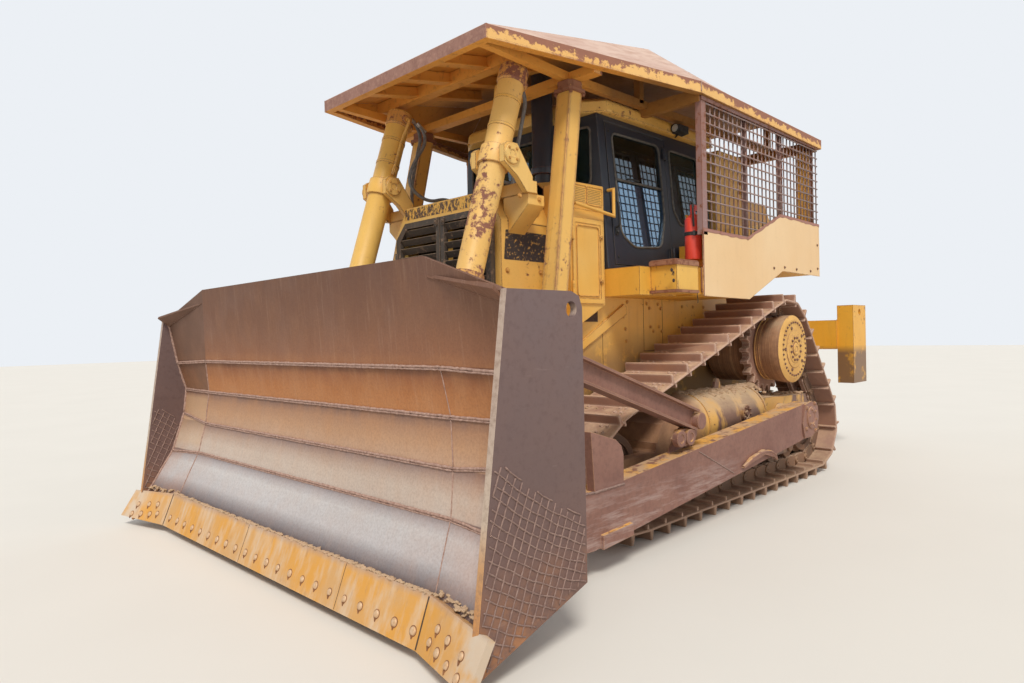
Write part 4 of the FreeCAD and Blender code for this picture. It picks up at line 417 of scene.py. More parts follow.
MATERIALS = {
    "body_paint": weathered("body_paint_worn", YELLOW, PALE_YELLOW, chips=0.70, streaks=0.14, grime=0.2),
    "panel_paint": weathered("panel_paint_worn", srgb(232, 190, 134), srgb(238, 204, 156), chips=0.76,
                             streaks=0.08, grime=0.10, dust=0.15),
    "skirt_paint": weathered("skirt_paint_grimy", YELLOW, PALE_YELLOW, chips=0.66, streaks=0.3, grime=0.35,
                             low=(1.30, 1.62), low_shade=srgb(150, 116, 76)),
    "fender_paint": weathered("fender_paint_worn", DEEP_YELLOW, srgb(234, 184, 84), chips=0.69, streaks=0.2),
    "post_paint": weathered("post_paint_worn", srgb(234, 180, 88), srgb(240, 196, 112), chips=0.635, edge=0.05,
                            edge_share=0.36, streaks=0.12, rust=PURPLE_RUST),
    "barrel_worn": weathered("barrel_paint_worn", srgb(232, 180, 94), srgb(238, 194, 116), chips=0.585,
                             streaks=0.1, patches=1.1, rust=PURPLE_RUST, gloss=0.5),
    "barrel_pale": weathered("barrel_paint_pale", srgb(238, 184, 84), srgb(240, 196, 108), chips=0.66,
                             streaks=0.1, patches=0.7, rust=PURPLE_RUST),
    "head_worn": weathered("barrel_head_worn", srgb(226, 168, 86), srgb(216, 160, 92), chips=0.50, patches=0.8,
                           streaks=0.3, rust=PURPLE_RUST, gloss=0.6),
    "ripper_paint": weathered("ripper_paint_worn", srgb(236, 168, 48), srgb(236, 180, 70), chips=0.66,
                              streaks=0.2, grime=0.3, low=(1.24, 1.34), low_shade=srgb(112, 84, 66),
                              rust=(srgb(84, 62, 50), RUST_LIGHT)),
    "canopy_paint": canopy_finish(),
    "frame_steel": frame_finish(),
    "drive_paint": drive_finish(),
    "mesh_rust": weathered("mesh_rust_worn", srgb(150, 134, 134), srgb(168, 146, 138), chips=0.60, dust=0.2,
                           gloss=0.75, rust=(srgb(120, 82, 72), srgb(170, 128, 110))),
    "cab_paint": weathered("cab_paint_dusty", srgb(34, 38, 48), srgb(46, 50, 60), chips=0.80, dust=0.4,
                           rust=(srgb(70, 62, 58), srgb(112, 102, 92)), streaks=0.06, grime=0.3, gloss=0.38),
    "stack_paint": weathered("stack_heat_black", srgb(34, 36, 44), srgb(50, 52, 60), chips=0.78, dust=0.15,
                             streaks=0.05, gloss=0.42),
    "core_paint": weathered("core_dusty", srgb(44, 38, 32), srgb(60, 52, 44), chips=0.7, dust=0.3, gloss=0.9),
    "engine_iron": weathered("engine_oily", srgb(70, 66, 60), srgb(92, 86, 76), chips=0.7, gloss=0.6),
    "track_steel": dusty_steel("track_dusty", srgb(168, 126, 108), srgb(224, 196, 176), 0.95, 0.3, 0.026),
    "link_steel": dusty_steel("link_dusty", srgb(118, 90, 74), srgb(166, 128, 96), 0.55, 0.3),
    "push_steel": push_finish(),
    "red_paint": weathered("extinguisher_red", srgb(232, 56, 42), srgb(240, 92, 74), chips=0.85, dust=0.15,
                           gloss=0.3, streaks=0.02, grime=0.1),
    "rust_cast": weathered("rusted_casting", srgb(142, 96, 72), srgb(164, 116, 88), chips=0.58, dust=0.2,
                           gloss=0.8),
    "post_rust": weathered("mesh_post_rust", srgb(150, 108, 96), srgb(160, 140, 144), chips=0.60, dust=0.1,
                           gloss=0.8),
    "pink_rust": weathered("rusted_strip", srgb(176, 128, 116), srgb(160, 112, 98), chips=0.62, dust=0.1,
                           gloss=0.8),
    "grille_dark": weathered("grille_dark", srgb(66, 58, 52), srgb(90, 78, 66), chips=0.60, dust=0.45,
                             gloss=0.7, edge=0.006, rust=(srgb(110, 86, 70), srgb(158, 130, 104))),
    "soil": dusty_steel("dry_soil", srgb(184, 152, 118), srgb(206, 178, 144), 0.6),
}

# Height up the board and its colour there: the plates' own grey, cream, orange and rust, darkening with painted shade
# under each fold and at the board's foot.
BOARD_BANDS_AND_FOLD_SHADE = [
    (0.28, srgb(104, 96, 98)), (0.35, srgb(148, 142, 143)), (0.42, srgb(197, 193, 193)),
    (0.54, srgb(205, 201, 199)), (0.59, srgb(176, 168, 168)), (0.628, srgb(120, 110, 112)),
    (0.632, srgb(206, 190, 176)), (0.73, srgb(208, 190, 174)), (0.80, srgb(188, 164, 148)),
    (0.84, srgb(158, 134, 124)), (0.872, srgb(118, 98, 94)), (0.878, srgb(200, 164, 136)),
    (0.98, srgb(194, 152, 118)), (1.06, srgb(176, 134, 104)), (1.10, srgb(144, 110, 92)),
    (1.137, srgb(108, 82, 74)), (1.143, srgb(194, 130, 78)), (1.25, srgb(182, 118, 68)),
    (1.33, srgb(158, 100, 62)), (1.397, srgb(108, 72, 56)), (1.403, srgb(162, 108, 72)),
    (1.48, srgb(146, 98, 70)), (1.66, srgb(128, 88, 66)), (1.985, srgb(110, 76, 60)),
]
MATERIALS["board_steel"] = plates("mouldboard_worn_and_shaded", BOARD_BANDS_AND_FOLD_SHADE, (srgb(118, 88, 70), srgb(196, 142, 96)), 0.11,
                                  (0.5, 0.78), stain=((1.25, 1.9), srgb(190, 118, 58)))
MATERIALS["plate_steel"] = end_plate_steel()
MATERIALS["edge_steel"] = edge_rust()


def plain(name, shade, other, rough, metallic=0.0, scale=30.0, **sockets):
    """A small part's finish: two shades in a fine mottle."""
    t = Tree(name)
    for key, value in sockets.items():
        t.shader.inputs[key.replace("_", " ")].default_value = value
    t.bump(t.noise(scale * 4, 4), 0.0006, 0.4)
    return t.finish(t.mix(t.band(t.noise(scale, 5), 0.3, 0.7), shade, other), rough, metallic)


def flecked(name, ground, fleck, low, high, scale=30.0, stretch=(1, 1, 1)):
    """Paint worn away in flecks."""
    t = Tree(name)
    share = t.band(t.noise(scale, 9, 0.7, stretch=stretch), low, high)
    t.bump(share, 0.0006, 0.4)
    return t.finish(t.mix(share, ground, fleck), 0.7)


def glass(name, tint, mirror, split=None):
    """Tinted pane whose gloss is tinted sky blue, a painted sky reflection; above the split height it is darker and
    browner and mirrors less, painted shade from the canopy.
    """
    t = Tree(name)
    film = t.noise(3.0, 6, 0.6)
    shade = t.mix(t.band(film, 0.35, 0.8, 0.0, 0.25), tint, srgb(120, 124, 118))
    share = mirror
    if split:
        # Painted shade: above the split height the pane darkens to brown and mirrors less, as the canopy shades the
        # upper pane.
        above = t.band(t.axis("Z"), split - 0.004, split + 0.004)
        shade = t.mix(above, shade, srgb(66, 62, 48))
        share = t.band(above, 0, 1, mirror, mirror * 0.30)
    t.finish(shade, 0.02)
    t.shader.inputs["Transmission Weight"].default_value = 0.75
    t.shader.inputs["IOR"].default_value = 1.45
    # The glossy layer is tinted sky blue: a painted sky reflection over the real gloss.
    sky_tinted_gloss = t.node("BsdfGlossy", {"Color": srgb(176, 214, 244), "Roughness": 0.03})
    both = t.node("MixShader", {0: share, 1: t.shader.outputs[0], 2: sky_tinted_gloss.outputs[0]})
    out = [n for n in t.nodes if n.type == "OUTPUT_MATERIAL"][0]
    t.links.new(both.outputs[0], out.inputs[0])
    return t.material


def woven(name, shade, light):
    """Woven seat cloth."""
    t = Tree(name)
    warp = t.node("TexWave", {"Vector": t.place, "Scale": 90.0, "Distortion": 0.4}, bands_direction="X")
    weft = t.node("TexWave", {"Vector": t.place, "Scale": 90.0, "Distortion": 0.4}, bands_direction="Z")
    weave = t.math("MULTIPLY", warp.outputs["Fac"], weft.outputs["Fac"])
    t.bump(weave, 0.001, 0.6)
    t.shader.inputs["Sheen Weight"].default_value = 0.3
    return t.finish(t.mix(weave, shade, light), 0.9)


MATERIALS["ram_chrome"] = plain("ram_chrome", srgb(186, 184, 180), srgb(150, 146, 140), 0.22, 1.0, 12.0)
MATERIALS["window_glass"] = glass("window_glass_tinted", srgb(70, 92, 86), 0.10)
# The door panes carry painted canopy shade above 2.872 m.
MATERIALS["door_glass"] = glass("door_glass_tinted_shaded_top", srgb(70, 104, 138), 0.42, split=2.872)
MATERIALS["seat_fabric"] = woven("seat_cloth", srgb(48, 48, 52), srgb(84, 82, 82))
MATERIALS["seat_trim"] = plain("seat_trim", srgb(30, 30, 32), srgb(48, 46, 46), 0.6)
MATERIALS["console"] = plain("console_plastic", srgb(52, 52, 54), srgb(72, 70, 68), 0.6)
MATERIALS["rubber"] = plain("rubber_seal", srgb(74, 72, 70), srgb(112, 106, 98), 0.8)
MATERIALS["hose"] = plain("hose_rubber", srgb(96, 98, 100), srgb(140, 138, 134), 0.55)
MATERIALS["ferrule"] = plain("hose_ferrule", srgb(196, 192, 184), srgb(160, 150, 138), 0.35, 0.8)
MATERIALS["bead"] = plain("weld_bead_rust", srgb(146, 112, 98), srgb(190, 158, 142), 0.75, 0.1, 50.0)
MATERIALS["hard_bead"] = plain("hard_facing", srgb(124, 98, 90), srgb(158, 130, 118), 0.75, 0.1, 50.0)
MATERIALS["bolt"] = plain("bolt_rust", srgb(104, 74, 60), srgb(150, 114, 92), 0.7, 0.2, 60.0)
MATERIALS["plow_bolt"] = plain("plow_bolt_worn", srgb(198, 156, 112), srgb(216, 186, 152), 0.55, 0.2, 60.0)
MATERIALS["bolt_rim"] = plain("bolt_rim", srgb(116, 76, 50), srgb(152, 104, 66), 0.8)
MATERIALS["bolt_paint"] = plain("bolt_painted", srgb(214, 160, 78), srgb(176, 124, 70), 0.6, 0.0, 60.0)
MATERIALS["dark_steel_and_hole_shade"] = plain("dark_seam_and_hole_shade", srgb(58, 44, 36), srgb(86, 66, 52), 0.85, 0.0, 40.0)
MATERIALS["lamp_black"] = plain("lamp_black", srgb(30, 30, 32), srgb(56, 54, 52), 0.6)
MATERIALS["lens"] = plain("lamp_lens", srgb(206, 208, 206), srgb(178, 180, 176), 0.12)
MATERIALS["side_patch"] = flecked("worn_side_patch", srgb(54, 44, 42), srgb(214, 164, 84), 0.56, 0.62, 42.0)
MATERIALS["worn_band"] = flecked("worn_front_band", srgb(232, 178, 84), srgb(92, 70, 58), 0.47, 0.53, 26.0,
                                 (1, 1.6, 1))

NODE_FINISH = {
    "guard_panels": "panel_paint", "main_frame": "skirt_paint", "fenders": "fender_paint", "ripper_beam": "ripper_paint",
    "shank_pockets": "ripper_paint", "ripper_links": "ripper_paint", "ripper_tilt_links": "ripper_paint",
    "ripper_bracket": "ripper_paint", "ripper_lift_barrels": "ripper_paint", "push_arms": "push_steel",
    "braces": "push_steel", "blade_end_plates": "plate_steel", "canopy_posts": "post_paint",
    "lift_barrel_left": "barrel_worn", "lift_barrel_right": "barrel_pale", "final_drives": "drive_paint",
    "rollers": "link_steel", "idlers": "link_steel", "door_glass_left": "door_glass",
    "door_glass_right": "door_glass", "grille_door_left": "grille_dark", "grille_door_right": "grille_dark",
    "extinguisher_bracket": "fender_paint",
}

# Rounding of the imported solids' edges, in metres
NODE_BEVEL = {
    "track_left": 0.010, "track_right": 0.010, "sprockets": 0.006, "final_drives": 0.006, "idlers": 0.006,
    "track_frames": 0.010, "radiator_guard": 0.010, "hood": 0.008, "side_boxes": 0.006, "fenders": 0.006,
    "guard_panels": 0.003, "canopy_roof": 0.005, "canopy_posts": 0.012, "lift_yokes": 0.010,
    "lift_barrel_left": 0.005, "lift_barrel_right": 0.005, "lift_rod_left": 0.004, "lift_rod_right": 0.004,
    "mouldboard": 0.004, "blade_end_plates": 0.006, "cutting_edges": 0.005, "push_arms": 0.010,
    "braces": 0.005, "ripper_bracket": 0.005, "ripper_links": 0.005, "ripper_tilt_links": 0.005,
    "ripper_beam": 0.012, "cab_shell": 0.008, "cab_roof": 0.025,
    "cab_door_left": 0.006, "cab_door_right": 0.006, "engine_door_left": 0.006, "engine_door_right": 0.006,
    "exhaust_stack": 0.004, "main_frame": 0.008, "fuel_tank": 0.015, "grille_door_left": 0.004,
    "grille_door_right": 0.004, "work_lamps": 0.006, "extinguisher_bracket": 0.002, "fire_extinguisher": 0.004,
}

for row in frame["record"]["subparts"]:
    finish_name = NODE_FINISH.get(row["node"], row["material_slot"])
    node = NODES[row["node"]]
    node.data.materials.clear()
    node.data.materials.append(MATERIALS[finish_name])
    if row["node"] in NODE_BEVEL:
        weld = node.modifiers.new("weld", "WELD")
        weld.merge_threshold = 0.00005
        soft = node.modifiers.new("edges", "BEVEL")
        soft.width = NODE_BEVEL[row["node"]]
        soft.segments = 2
        soft.limit_method = "ANGLE"
        soft.angle_limit = math.radians(30)
        soft.use_clamp_overlap = True


# Camera, light and floor

CAMERA_AT = P(6.94192, 4.38016, 1.55752)
CAMERA_YAW = 0.783365
CAMERA_PITCH = -0.0087163
CAMERA_ROLL = -0.0209436
LENS = 24.50


def make_camera():
    forward = Vector((-math.cos(CAMERA_YAW) * math.cos(CAMERA_PITCH),
                      -math.sin(CAMERA_YAW) * math.cos(CAMERA_PITCH), math.sin(CAMERA_PITCH)))
    side = forward.cross(Vector((0, 0, 1))).normalized()
    up = side.cross(forward)
    right = side * math.cos(CAMERA_ROLL) + up * math.sin(CAMERA_ROLL)
    above = up * math.cos(CAMERA_ROLL) - side * math.sin(CAMERA_ROLL)
    data = bpy.data.cameras.new("camera")
    data.lens = LENS
    data.sensor_width = 36.0
    camera = bpy.data.objects.new("camera", data)
    turn = Matrix((right, above, -forward)).transposed().to_4x4()
    camera.matrix_world = Matrix.Translation(CAMERA_AT) @ turn
    bpy.context.scene.collection.objects.link(camera)
    bpy.context.scene.camera = camera


def make_light():
    data = bpy.data.lights.new("sun", "SUN")
    data.energy = 2.3
    data.angle = math.radians(16)
    data.color = (1.0, 0.97, 0.92)
    sun = bpy.data.objects.new("sun", data)
    toward = Vector((0.55, 0.62, 1.05))
    sun.rotation_euler = toward.to_track_quat("Z", "Y").to_euler()
    bpy.context.scene.collection.objects.link(sun)
    world = bpy.data.worlds.new("world")
    bpy.context.scene.world = world
    world.use_nodes = True
    nodes = world.node_tree.nodes
    links = world.node_tree.links
    nodes.clear()
    lamp = nodes.new("ShaderNodeBackground")
    lamp.inputs["Color"].default_value = (0.93, 0.96, 1.0, 1.0)
    lamp.inputs["Strength"].default_value = 0.62
    seen = nodes.new("ShaderNodeBackground")
    seen.inputs["Color"].default_value = srgb(236, 240, 245)
    seen.inputs["Strength"].default_value = 1.0
    path = nodes.new("ShaderNodeLightPath")
    some = nodes.new("ShaderNodeMath")
    some.operation = "MAXIMUM"
    links.new(path.outputs["Is Camera Ray"], some.inputs[0])
    links.new(path.outputs["Is Glossy Ray"], some.inputs[1])
    every = nodes.new("ShaderNodeMath")
    every.operation = "MAXIMUM"
    links.new(some.outputs[0], every.inputs[0])
    links.new(path.outputs["Is Transmission Ray"], every.inputs[1])
    mix = nodes.new("ShaderNodeMixShader")
    links.new(every.outputs[0], mix.inputs[0])
    links.new(lamp.outputs[0], mix.inputs[1])
    links.new(seen.outputs[0], mix.inputs[2])
    links.new(mix.outputs[0], nodes.new("ShaderNodeOutputWorld").inputs[0])


FLOOR_HALF = 60.0


def make_floor():
    mesh = bpy.data.meshes.new("floor")
    corners = [(x * FLOOR_HALF, y * FLOOR_HALF, 0) for x, y in ((-1, -1), (1, -1), (1, 1), (-1, 1))]
    mesh.from_pydata(corners, [], [(0, 1, 2, 3)])
    floor = bpy.data.objects.new("floor", mesh)
    bpy.context.scene.collection.objects.link(floor)
    t = Tree("floor_pale")
    t.bump(t.noise(6.0, 4), 0.002, 0.2)
    shade = t.mix(t.noise(0.7, 3), srgb(222, 217, 208), srgb(228, 223, 214))
    mesh.materials.append(t.finish(shade, 0.9))


# Mesh helpers

AHEAD = (1, 0, 0)
LEFT = (0, 1, 0)
UP = (0, 0, 1)
SIDES = (("left", 1), ("right", -1))


def turns(count, first=0.0):
    """Angles spread evenly over a full turn."""
    return [first + 2 * math.pi * k / count for k in range(count)]


def circle(centre, radius, count, first=0.0):
    """Places round a centre, in a plane along the machine."""
    x, y, z = centre
    return [Vector((x + radius * math.cos(a), y, z + radius * math.sin(a))) for a in turns(count, first)]


def around(axis, sides):
    """A direction's unit vector and the unit circle square to it."""
    axis = Vector(axis).normalized()
    side = axis.orthogonal().normalized()
    other = axis.cross(side)
    return axis, [side * math.cos(a) + other * math.sin(a) for a in turns(sides)]


def steps_along(points, step):
    """Evenly spaced places on each straight run between points."""
    line = []
    for a, b in zip(points, points[1:]):
        a, b = Vector(a), Vector(b)
        count = max(2, int((b - a).length / step) + 1)
        line += [a.lerp(b, k / (count - 1)) for k in range(count)]
    return line


def smooth_line(points, per_span=10):
    """Points read off a NURBS spline whose control points are given."""
    data = bpy.data.curves.new("line", "CURVE")
    data.dimensions = "3D"
    spline = data.splines.new("NURBS")
    spline.points.add(len(points) - 1)
    for target, point in zip(spline.points, points):
        target.co = (*point, 1.0)
    spline.order_u = 3
    spline.use_endpoint_u = True
    spline.resolution_u = per_span
    holder = bpy.data.objects.new("line", data)
    mesh = bpy.data.meshes.new_from_object(holder)
    line = [v.co.copy() for v in mesh.vertices]
    bpy.data.meshes.remove(mesh)
    bpy.data.objects.remove(holder)
    return line


def rounded_corners(points, radius, steps=5):
    """A closed flat outline with its corners rounded, as pairs."""
    out = []
    count = len(points)
    for i in range(count):
        before, corner, after = (Vector(points[(i + k) % count]) for k in (-1, 0, 1))
        start = corner + (before - corner).normalized() * radius
        end = corner + (after - corner).normalized() * radius
        out += [tuple(start.lerp(corner, k / steps).lerp(corner.lerp(end, k / steps), k / steps))
                for k in range(steps + 1)]
    return out


def rectangle(u0, v0, u1, v1):
    return [(u0, v0), (u1, v0), (u1, v1), (u0, v1)]


def standing(axis, at, outline):
    """Places of a flat outline that stands square to an axis, at a place along it."""
    k = "xyz".index(axis)
    return [Vector(tuple(p[:k]) + (at,) + tuple(p[k:])) for p in outline]


def unit_ball():
    """Vertices and faces of a coarse ball."""
    ball = bmesh.new()
    bmesh.ops.create_icosphere(ball, subdivisions=1, radius=1.0)
    verts = [v.co.copy() for v in ball.verts]
    faces = [[v.index for v in face.verts] for face in ball.faces]
    ball.free()
    return verts, faces


BALL = unit_ball()


class Shape:
    """Collects many small forms that become one piece; places are measured from the sprocket axle."""

    def __init__(self):
        self.verts = []
        self.faces = []

    def add(self, verts, faces):
        start = len(self.verts)
        self.verts += [Vector(v) for v in verts]
        self.faces += [tuple(start + i for i in face) for face in faces]

    def skin(self, rings, hoop=False):
        """Faces over rings of points, with both ends capped unless the rings close into a hoop."""
        total = len(rings)
        count = len(rings[0])
        faces = [] if hoop else [tuple(reversed(range(count))), tuple(range((total - 1) * count, total * count))]
        for r in range(total if hoop else total - 1):
            here, there = r * count, (r + 1) % total * count
            faces += [(here + k, here + (k + 1) % count, there + (k + 1) % count, there + k) for k in range(count)]
        self.add([v for ring in rings for v in ring], faces)

    def prism(self, outline, depth):
        """An outline of places, pushed along depth."""
        outline = [Vector(p) for p in outline]
        self.skin([outline, [p + Vector(depth) for p in outline]])

    def slab(self, axis, at, depth, outline):
        """A flat outline that stands at a place along an axis, pushed along that axis."""
        self.prism(standing(axis, at, outline), standing(axis, depth, [(0, 0)])[0])

    def box(self, low, high, bevel=0.0):
        """A block between two corners, with its four upright edges cut where bevel is given."""
        (x0, y0, z0), (x1, y1, z1) = low, high
        b = bevel
        outline = rectangle(x0, y0, x1, y1)
        if bevel:
            outline = [(x0 + b, y0), (x1 - b, y0), (x1, y0 + b), (x1, y1 - b), (x1 - b, y1), (x0 + b, y1),
                       (x0, y1 - b), (x0, y0 + b)]
        self.slab("z", z0, z1 - z0, outline)

    def turned(self, at, axis, profile, sides=16):
        """A solid of revolution: profile is (along, radius) points from base to top."""
        axis, ring = around(axis, sides)
        self.skin([[Vector(at) + axis * along + away * radius for away in ring] for along, radius in profile])

    def clamp(self, at, axis, inner, outer, half, sides=30):
        """A flat band round an axis, open through its middle."""
        axis, ring = around(axis, sides)
        section = ((-half, inner), (-half * 0.8, outer), (half * 0.8, outer), (half, inner))
        self.skin([[Vector(at) + axis * along + away * radius for along, radius in section] for away in ring], True)

    def bolts(self, places, axis, radius, height):
        """Hexagon heads with chamfered tops, each on a washer."""
        for at in places:
            self.turned(at, axis, [(-0.002, radius * 1.35), (0.003, radius * 1.35)], 12)
            self.turned(at, axis, [(0.003, radius), (height * 0.8, radius), (height, radius * 0.8)], 6)

    def tube(self, points, radius, sides=8):
        """A round tube through points, with mitred turns; radius is one value or one for each point."""
        points = [Vector(p) for p in points]
        last = len(points) - 1
        radii = radius if isinstance(radius, list) else [radius] * len(points)
        rings = []
        normal = None
        for i, p in enumerate(points):
            ahead = points[min(i + 1, last)] - p
            behind = p - points[max(i - 1, 0)]
            along = (ahead.normalized() + behind.normalized()).normalized()
            normal = along.orthogonal() if normal is None else normal - along * normal.dot(along)
            normal.normalize()
            other = along.cross(normal)
            rings.append([p + (normal * math.cos(a) + other * math.sin(a)) * radii[i] for a in turns(sides)])
        self.skin(rings)

    def loop(self, ring, radius, sides=8):
        """A tube round a closed outline."""
        self.tube(ring + ring[:2], radius, sides)

    def bead(self, points, radius, ripple=0.18, sides=6):
        """A laid weld bead: a tube whose radius and path ripple from step to step."""
        path = []
        radii = []
        for p in points:
            jitter = Vector((RNG.uniform(-1, 1), RNG.uniform(-1, 1), RNG.uniform(-1, 1))) * radius * ripple
            path.append(Vector(p) + jitter)
            radii.append(radius * RNG.uniform(1 - ripple, 1 + ripple))
        self.tube(path, radii, sides)

    def weld(self, a, b, radius, step=0.02):
        """A straight bead between two places."""
        self.bead(steps_along((a, b), step), radius)

    def clod(self, at, size):
        """A rough lump of soil."""
        scale = Vector((RNG.uniform(0.8, 1.3), RNG.uniform(0.8, 1.3), RNG.uniform(0.4, 0.75))) * size
        turn = RNG.uniform(0, math.pi)
        verts = []
        for v in BALL[0]:
            rough = RNG.uniform(0.72, 1.15)
            x = v.x * math.cos(turn) - v.y * math.sin(turn)
            y = v.x * math.sin(turn) + v.y * math.cos(turn)
            verts.append(Vector(at) + Vector((x * scale.x, y * scale.y, v.z * scale.z)) * rough)
        self.add(verts, BALL[1])

    def mirror(self):
        """The same forms on the other side of the machine."""
        count = len(self.verts)
        self.verts += [flipped(v) for v in self.verts]
        self.faces += [tuple(count + i for i in reversed(face)) for face in self.faces]
        return self

    def make(self, name, body, finish, smooth=False):
        """One piece of all the forms, which rides on the body unless that is None."""
        mesh = bpy.data.meshes.new(name)
        mesh.from_pydata([(v.x + AXLE_X, v.y, v.z) for v in self.verts], [], self.faces)
        mesh.validate()
        work = bmesh.new()
        work.from_mesh(mesh)
        bmesh.ops.recalc_face_normals(work, faces=work.faces)
        work.to_mesh(mesh)
        work.free()
        if smooth:
            mesh.polygons.foreach_set("use_smooth", [True] * len(mesh.polygons))
        made = bpy.data.objects.new(name, mesh)
        bpy.context.scene.collection.objects.link(made)
        mesh.materials.append(MATERIALS[finish])
        if body:
            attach(made, body)
        return made


def flipped(p):
    return Vector((p[0], -p[1], p[2]))


# Blade

# (x, z) down the board's face, at the fold between board and wing and at the end plates
FOLD_FACE = ((4.672, 1.985), (4.625, 1.400), (4.589, 1.140), (4.610, 0.876), (4.661, 0.630), (4.812, 0.285))
WING_FACE = ((4.716, 1.767), (4.640, 1.380), (4.571, 1.142), (4.594, 0.930), (4.700, 0.603), (4.918, 0.259))
PLATE_IN = 2.13
PLATE_OUT = 2.17
BIT_START = 1.695            # from here out the edge is an end bit
BIT_LENGTH = 0.545
BIT_BOLTS = ((1.81, 0.138), (1.90, 0.126), (2.01, 0.117), (2.12, 0.108), (1.85, 0.205), (1.96, 0.195), (2.10, 0.182))


def fold_y(z):
    return 1.46 + 0.135 * (1.985 - z)


def blade_welds():
    """Beads along the board's folds, down the wings' seams and along the end plates."""
    shape = Shape()
    proud = 0.004
    for (fx, fz), (wx, wz) in list(zip(FOLD_FACE, WING_FACE))[1:5]:
        fold = fold_y(fz)
        line = steps_along([(wx + proud, -PLATE_IN, wz), (fx + proud, -fold, fz), (fx + proud, fold, fz),
                            (wx + proud, PLATE_IN, wz)], 0.02)
        shape.bead(line, 0.008)
        shape.bead([p + Vector((0.001, 0, -0.013)) for p in line], 0.006)
    for side in (-1, 1):
        seam = steps_along([(x + 0.001, side * fold_y(z), z) for x, z in FOLD_FACE], 0.02)
        corner = steps_along([(x + 0.003, side * (PLATE_IN - 0.003), z) for x, z in WING_FACE], 0.02)
        shape.bead(seam[30:], 0.005 if side < 0 else 0.0035)
        shape.bead(corner, 0.011)
    shape.make("blade_weld_beads", "blade", "bead", True)


def inside_plate(x, z):
    """Whether a point lies on the end plate's lower half, a little in from its edges."""
    front = 4.75 + (1.77 - z) * (4.968 - 4.75) / (1.77 - 0.235) if z > 0.235 else 4.968 + (0.235 - z) * 0.39
    foot = 0.31 - (x - 4.22) * 0.26 / 0.82
    top = 0.868 + (x - 4.593) * 0.62 - 0.03 * math.sin((x - 4.235) / 0.65 * math.pi)
    return 4.235 < x < front - 0.012 and z > foot + 0.014 and z < top


def board_x(z):
    """How far forward the board's face is beside the end plate."""
    for (x1, z1), (x0, z0) in zip(WING_FACE, WING_FACE[1:]):
        if z >= z0:
            return x0 + (x1 - x0) * (z - z0) / (z1 - z0)
    return WING_FACE[-1][0]


def hard_facing():
    """Crossed beads on the lower halves of the end plates."""
    families = []
    for k in range(22):
        ahead = 1.089 - 0.060 * k
        behind = 0.646 - 0.047 * k
        families.append((4.235, behind, (ahead - behind) / 0.715))
    for k in range(26):
        start = 4.99 - 0.045 * k
        families.append((start, 0.713 + (start - 4.593) * 0.62, -2.1 - 0.010 * k))
    outer = Shape()
    inner = Shape()
    steps = 160
    for px, pz, slope in families:
        phase = RNG.uniform(0, 6.28)
        runs = ((outer, PLATE_OUT + 0.001, []), (inner, PLATE_IN - 0.001, []))
        for k in range(steps):
            x = 4.22 + k * (0.82 if slope > 0 else 0.88) / steps
            z = pz + (x - px) * slope + 0.003 * math.sin(x * 30 + phase)
            if slope > 0:
                z -= 0.03 * math.sin((x - 4.235) / 0.65 * math.pi)
            keep = inside_plate(x, z)
            for shape, y, run in runs:
                if keep and (shape is outer or x > board_x(z) + 0.02):
                    run.append((x, y, z))
                    continue
                if len(run) > 3:
                    shape.bead(run[::2], 0.0044, 0.25, 5)
                run.clear()
    outer.mirror().make("end_plate_hard_facing", "blade", "hard_bead", True)
    inner.mirror().make("end_plate_inner_facing", "blade", "hard_bead", True)


def edge_point(y, z):
    """A point on the edge's front face and the face's normal; past the straight edge it is on the end bit."""
    s = max(0.0, (abs(y) - BIT_START) / BIT_LENGTH)
    top = Vector((4.850 + 0.125 * s, y, 0.305 - 0.023 * s))
    foot = Vector((4.945 + 0.155 * s, y, 0.062 + 0.023 * s))
    share = (z - foot.z) / (top.z - foot.z)
    along = Vector((0.28 if s > 0 else 0.0, 1 if y > 0 else -1, 0)).normalized()
    normal = along.cross(top - foot).normalized()
    if normal.x < 0:
        normal = -normal
    return foot.lerp(top, share), normal


def corner_gussets():
    """Triangular plates across the corners between the board's top and the end plates."""
    shape = Shape()
    for side in (-1, 1):
        shape.prism([(4.662, side * 1.50, 1.872), (4.800, side * 2.131, 1.768), (4.712, side * 2.131, 1.700)],
                    (-0.006, 0, 0.016))
        shape.weld((4.664, side * 1.50, 1.874), (4.712, side * 2.128, 1.702), 0.006)
    shape.make("corner_gussets", "blade", "board_steel")


def edge_bolts():
    """Worn plow bolts and their dark rims, and the seams between the edge's sections."""
    places = [(-1.60 + 0.1545 * k, 0.135) for k in range(22)]
    places += [(side * y, z) for y, z in BIT_BOLTS for side in (-1, 1)]
    heads = Shape()
    rims = Shape()
    for y, z in places:
        at, normal = edge_point(y, z)
        size = RNG.uniform(0.88, 1.08)
        heads.turned(at, normal, [(-0.004, 0.021 * size), (0.003, 0.021 * size), (0.008, 0.016 * size),
                                  (0.009, 0.006)], 14)
        rims.turned(at, normal, [(-0.004, 0.026 * size), (0.0012, 0.0255 * size)], 16)
        low = edge_point(y, z - 0.035)[0]
        rims.tube([at + normal * 0.0003 - (at - low) * 0.5, low + normal * 0.0003], [0.010, 0.003], 6)
    heads.make("plow_bolts", "blade", "plow_bolt", True)
    rims.make("plow_bolt_rims", "blade", "bolt_rim")
    seams = Shape()
    for y, wide in ((0.955, 0.0015), (-0.275, 0.0015), (1.698, 0.006), (-1.698, 0.006)):
        a, normal = edge_point(y, 0.298)
        b = edge_point(y, 0.066)[0]
        seams.prism([end + Vector((-0.002, dy, 0)) for end, dy in ((a, -wide), (a, wide), (b, wide), (b, -wide))],
                    normal * 0.003)
    seams.make("edge_seams", "blade", "dark_steel_and_hole_shade")


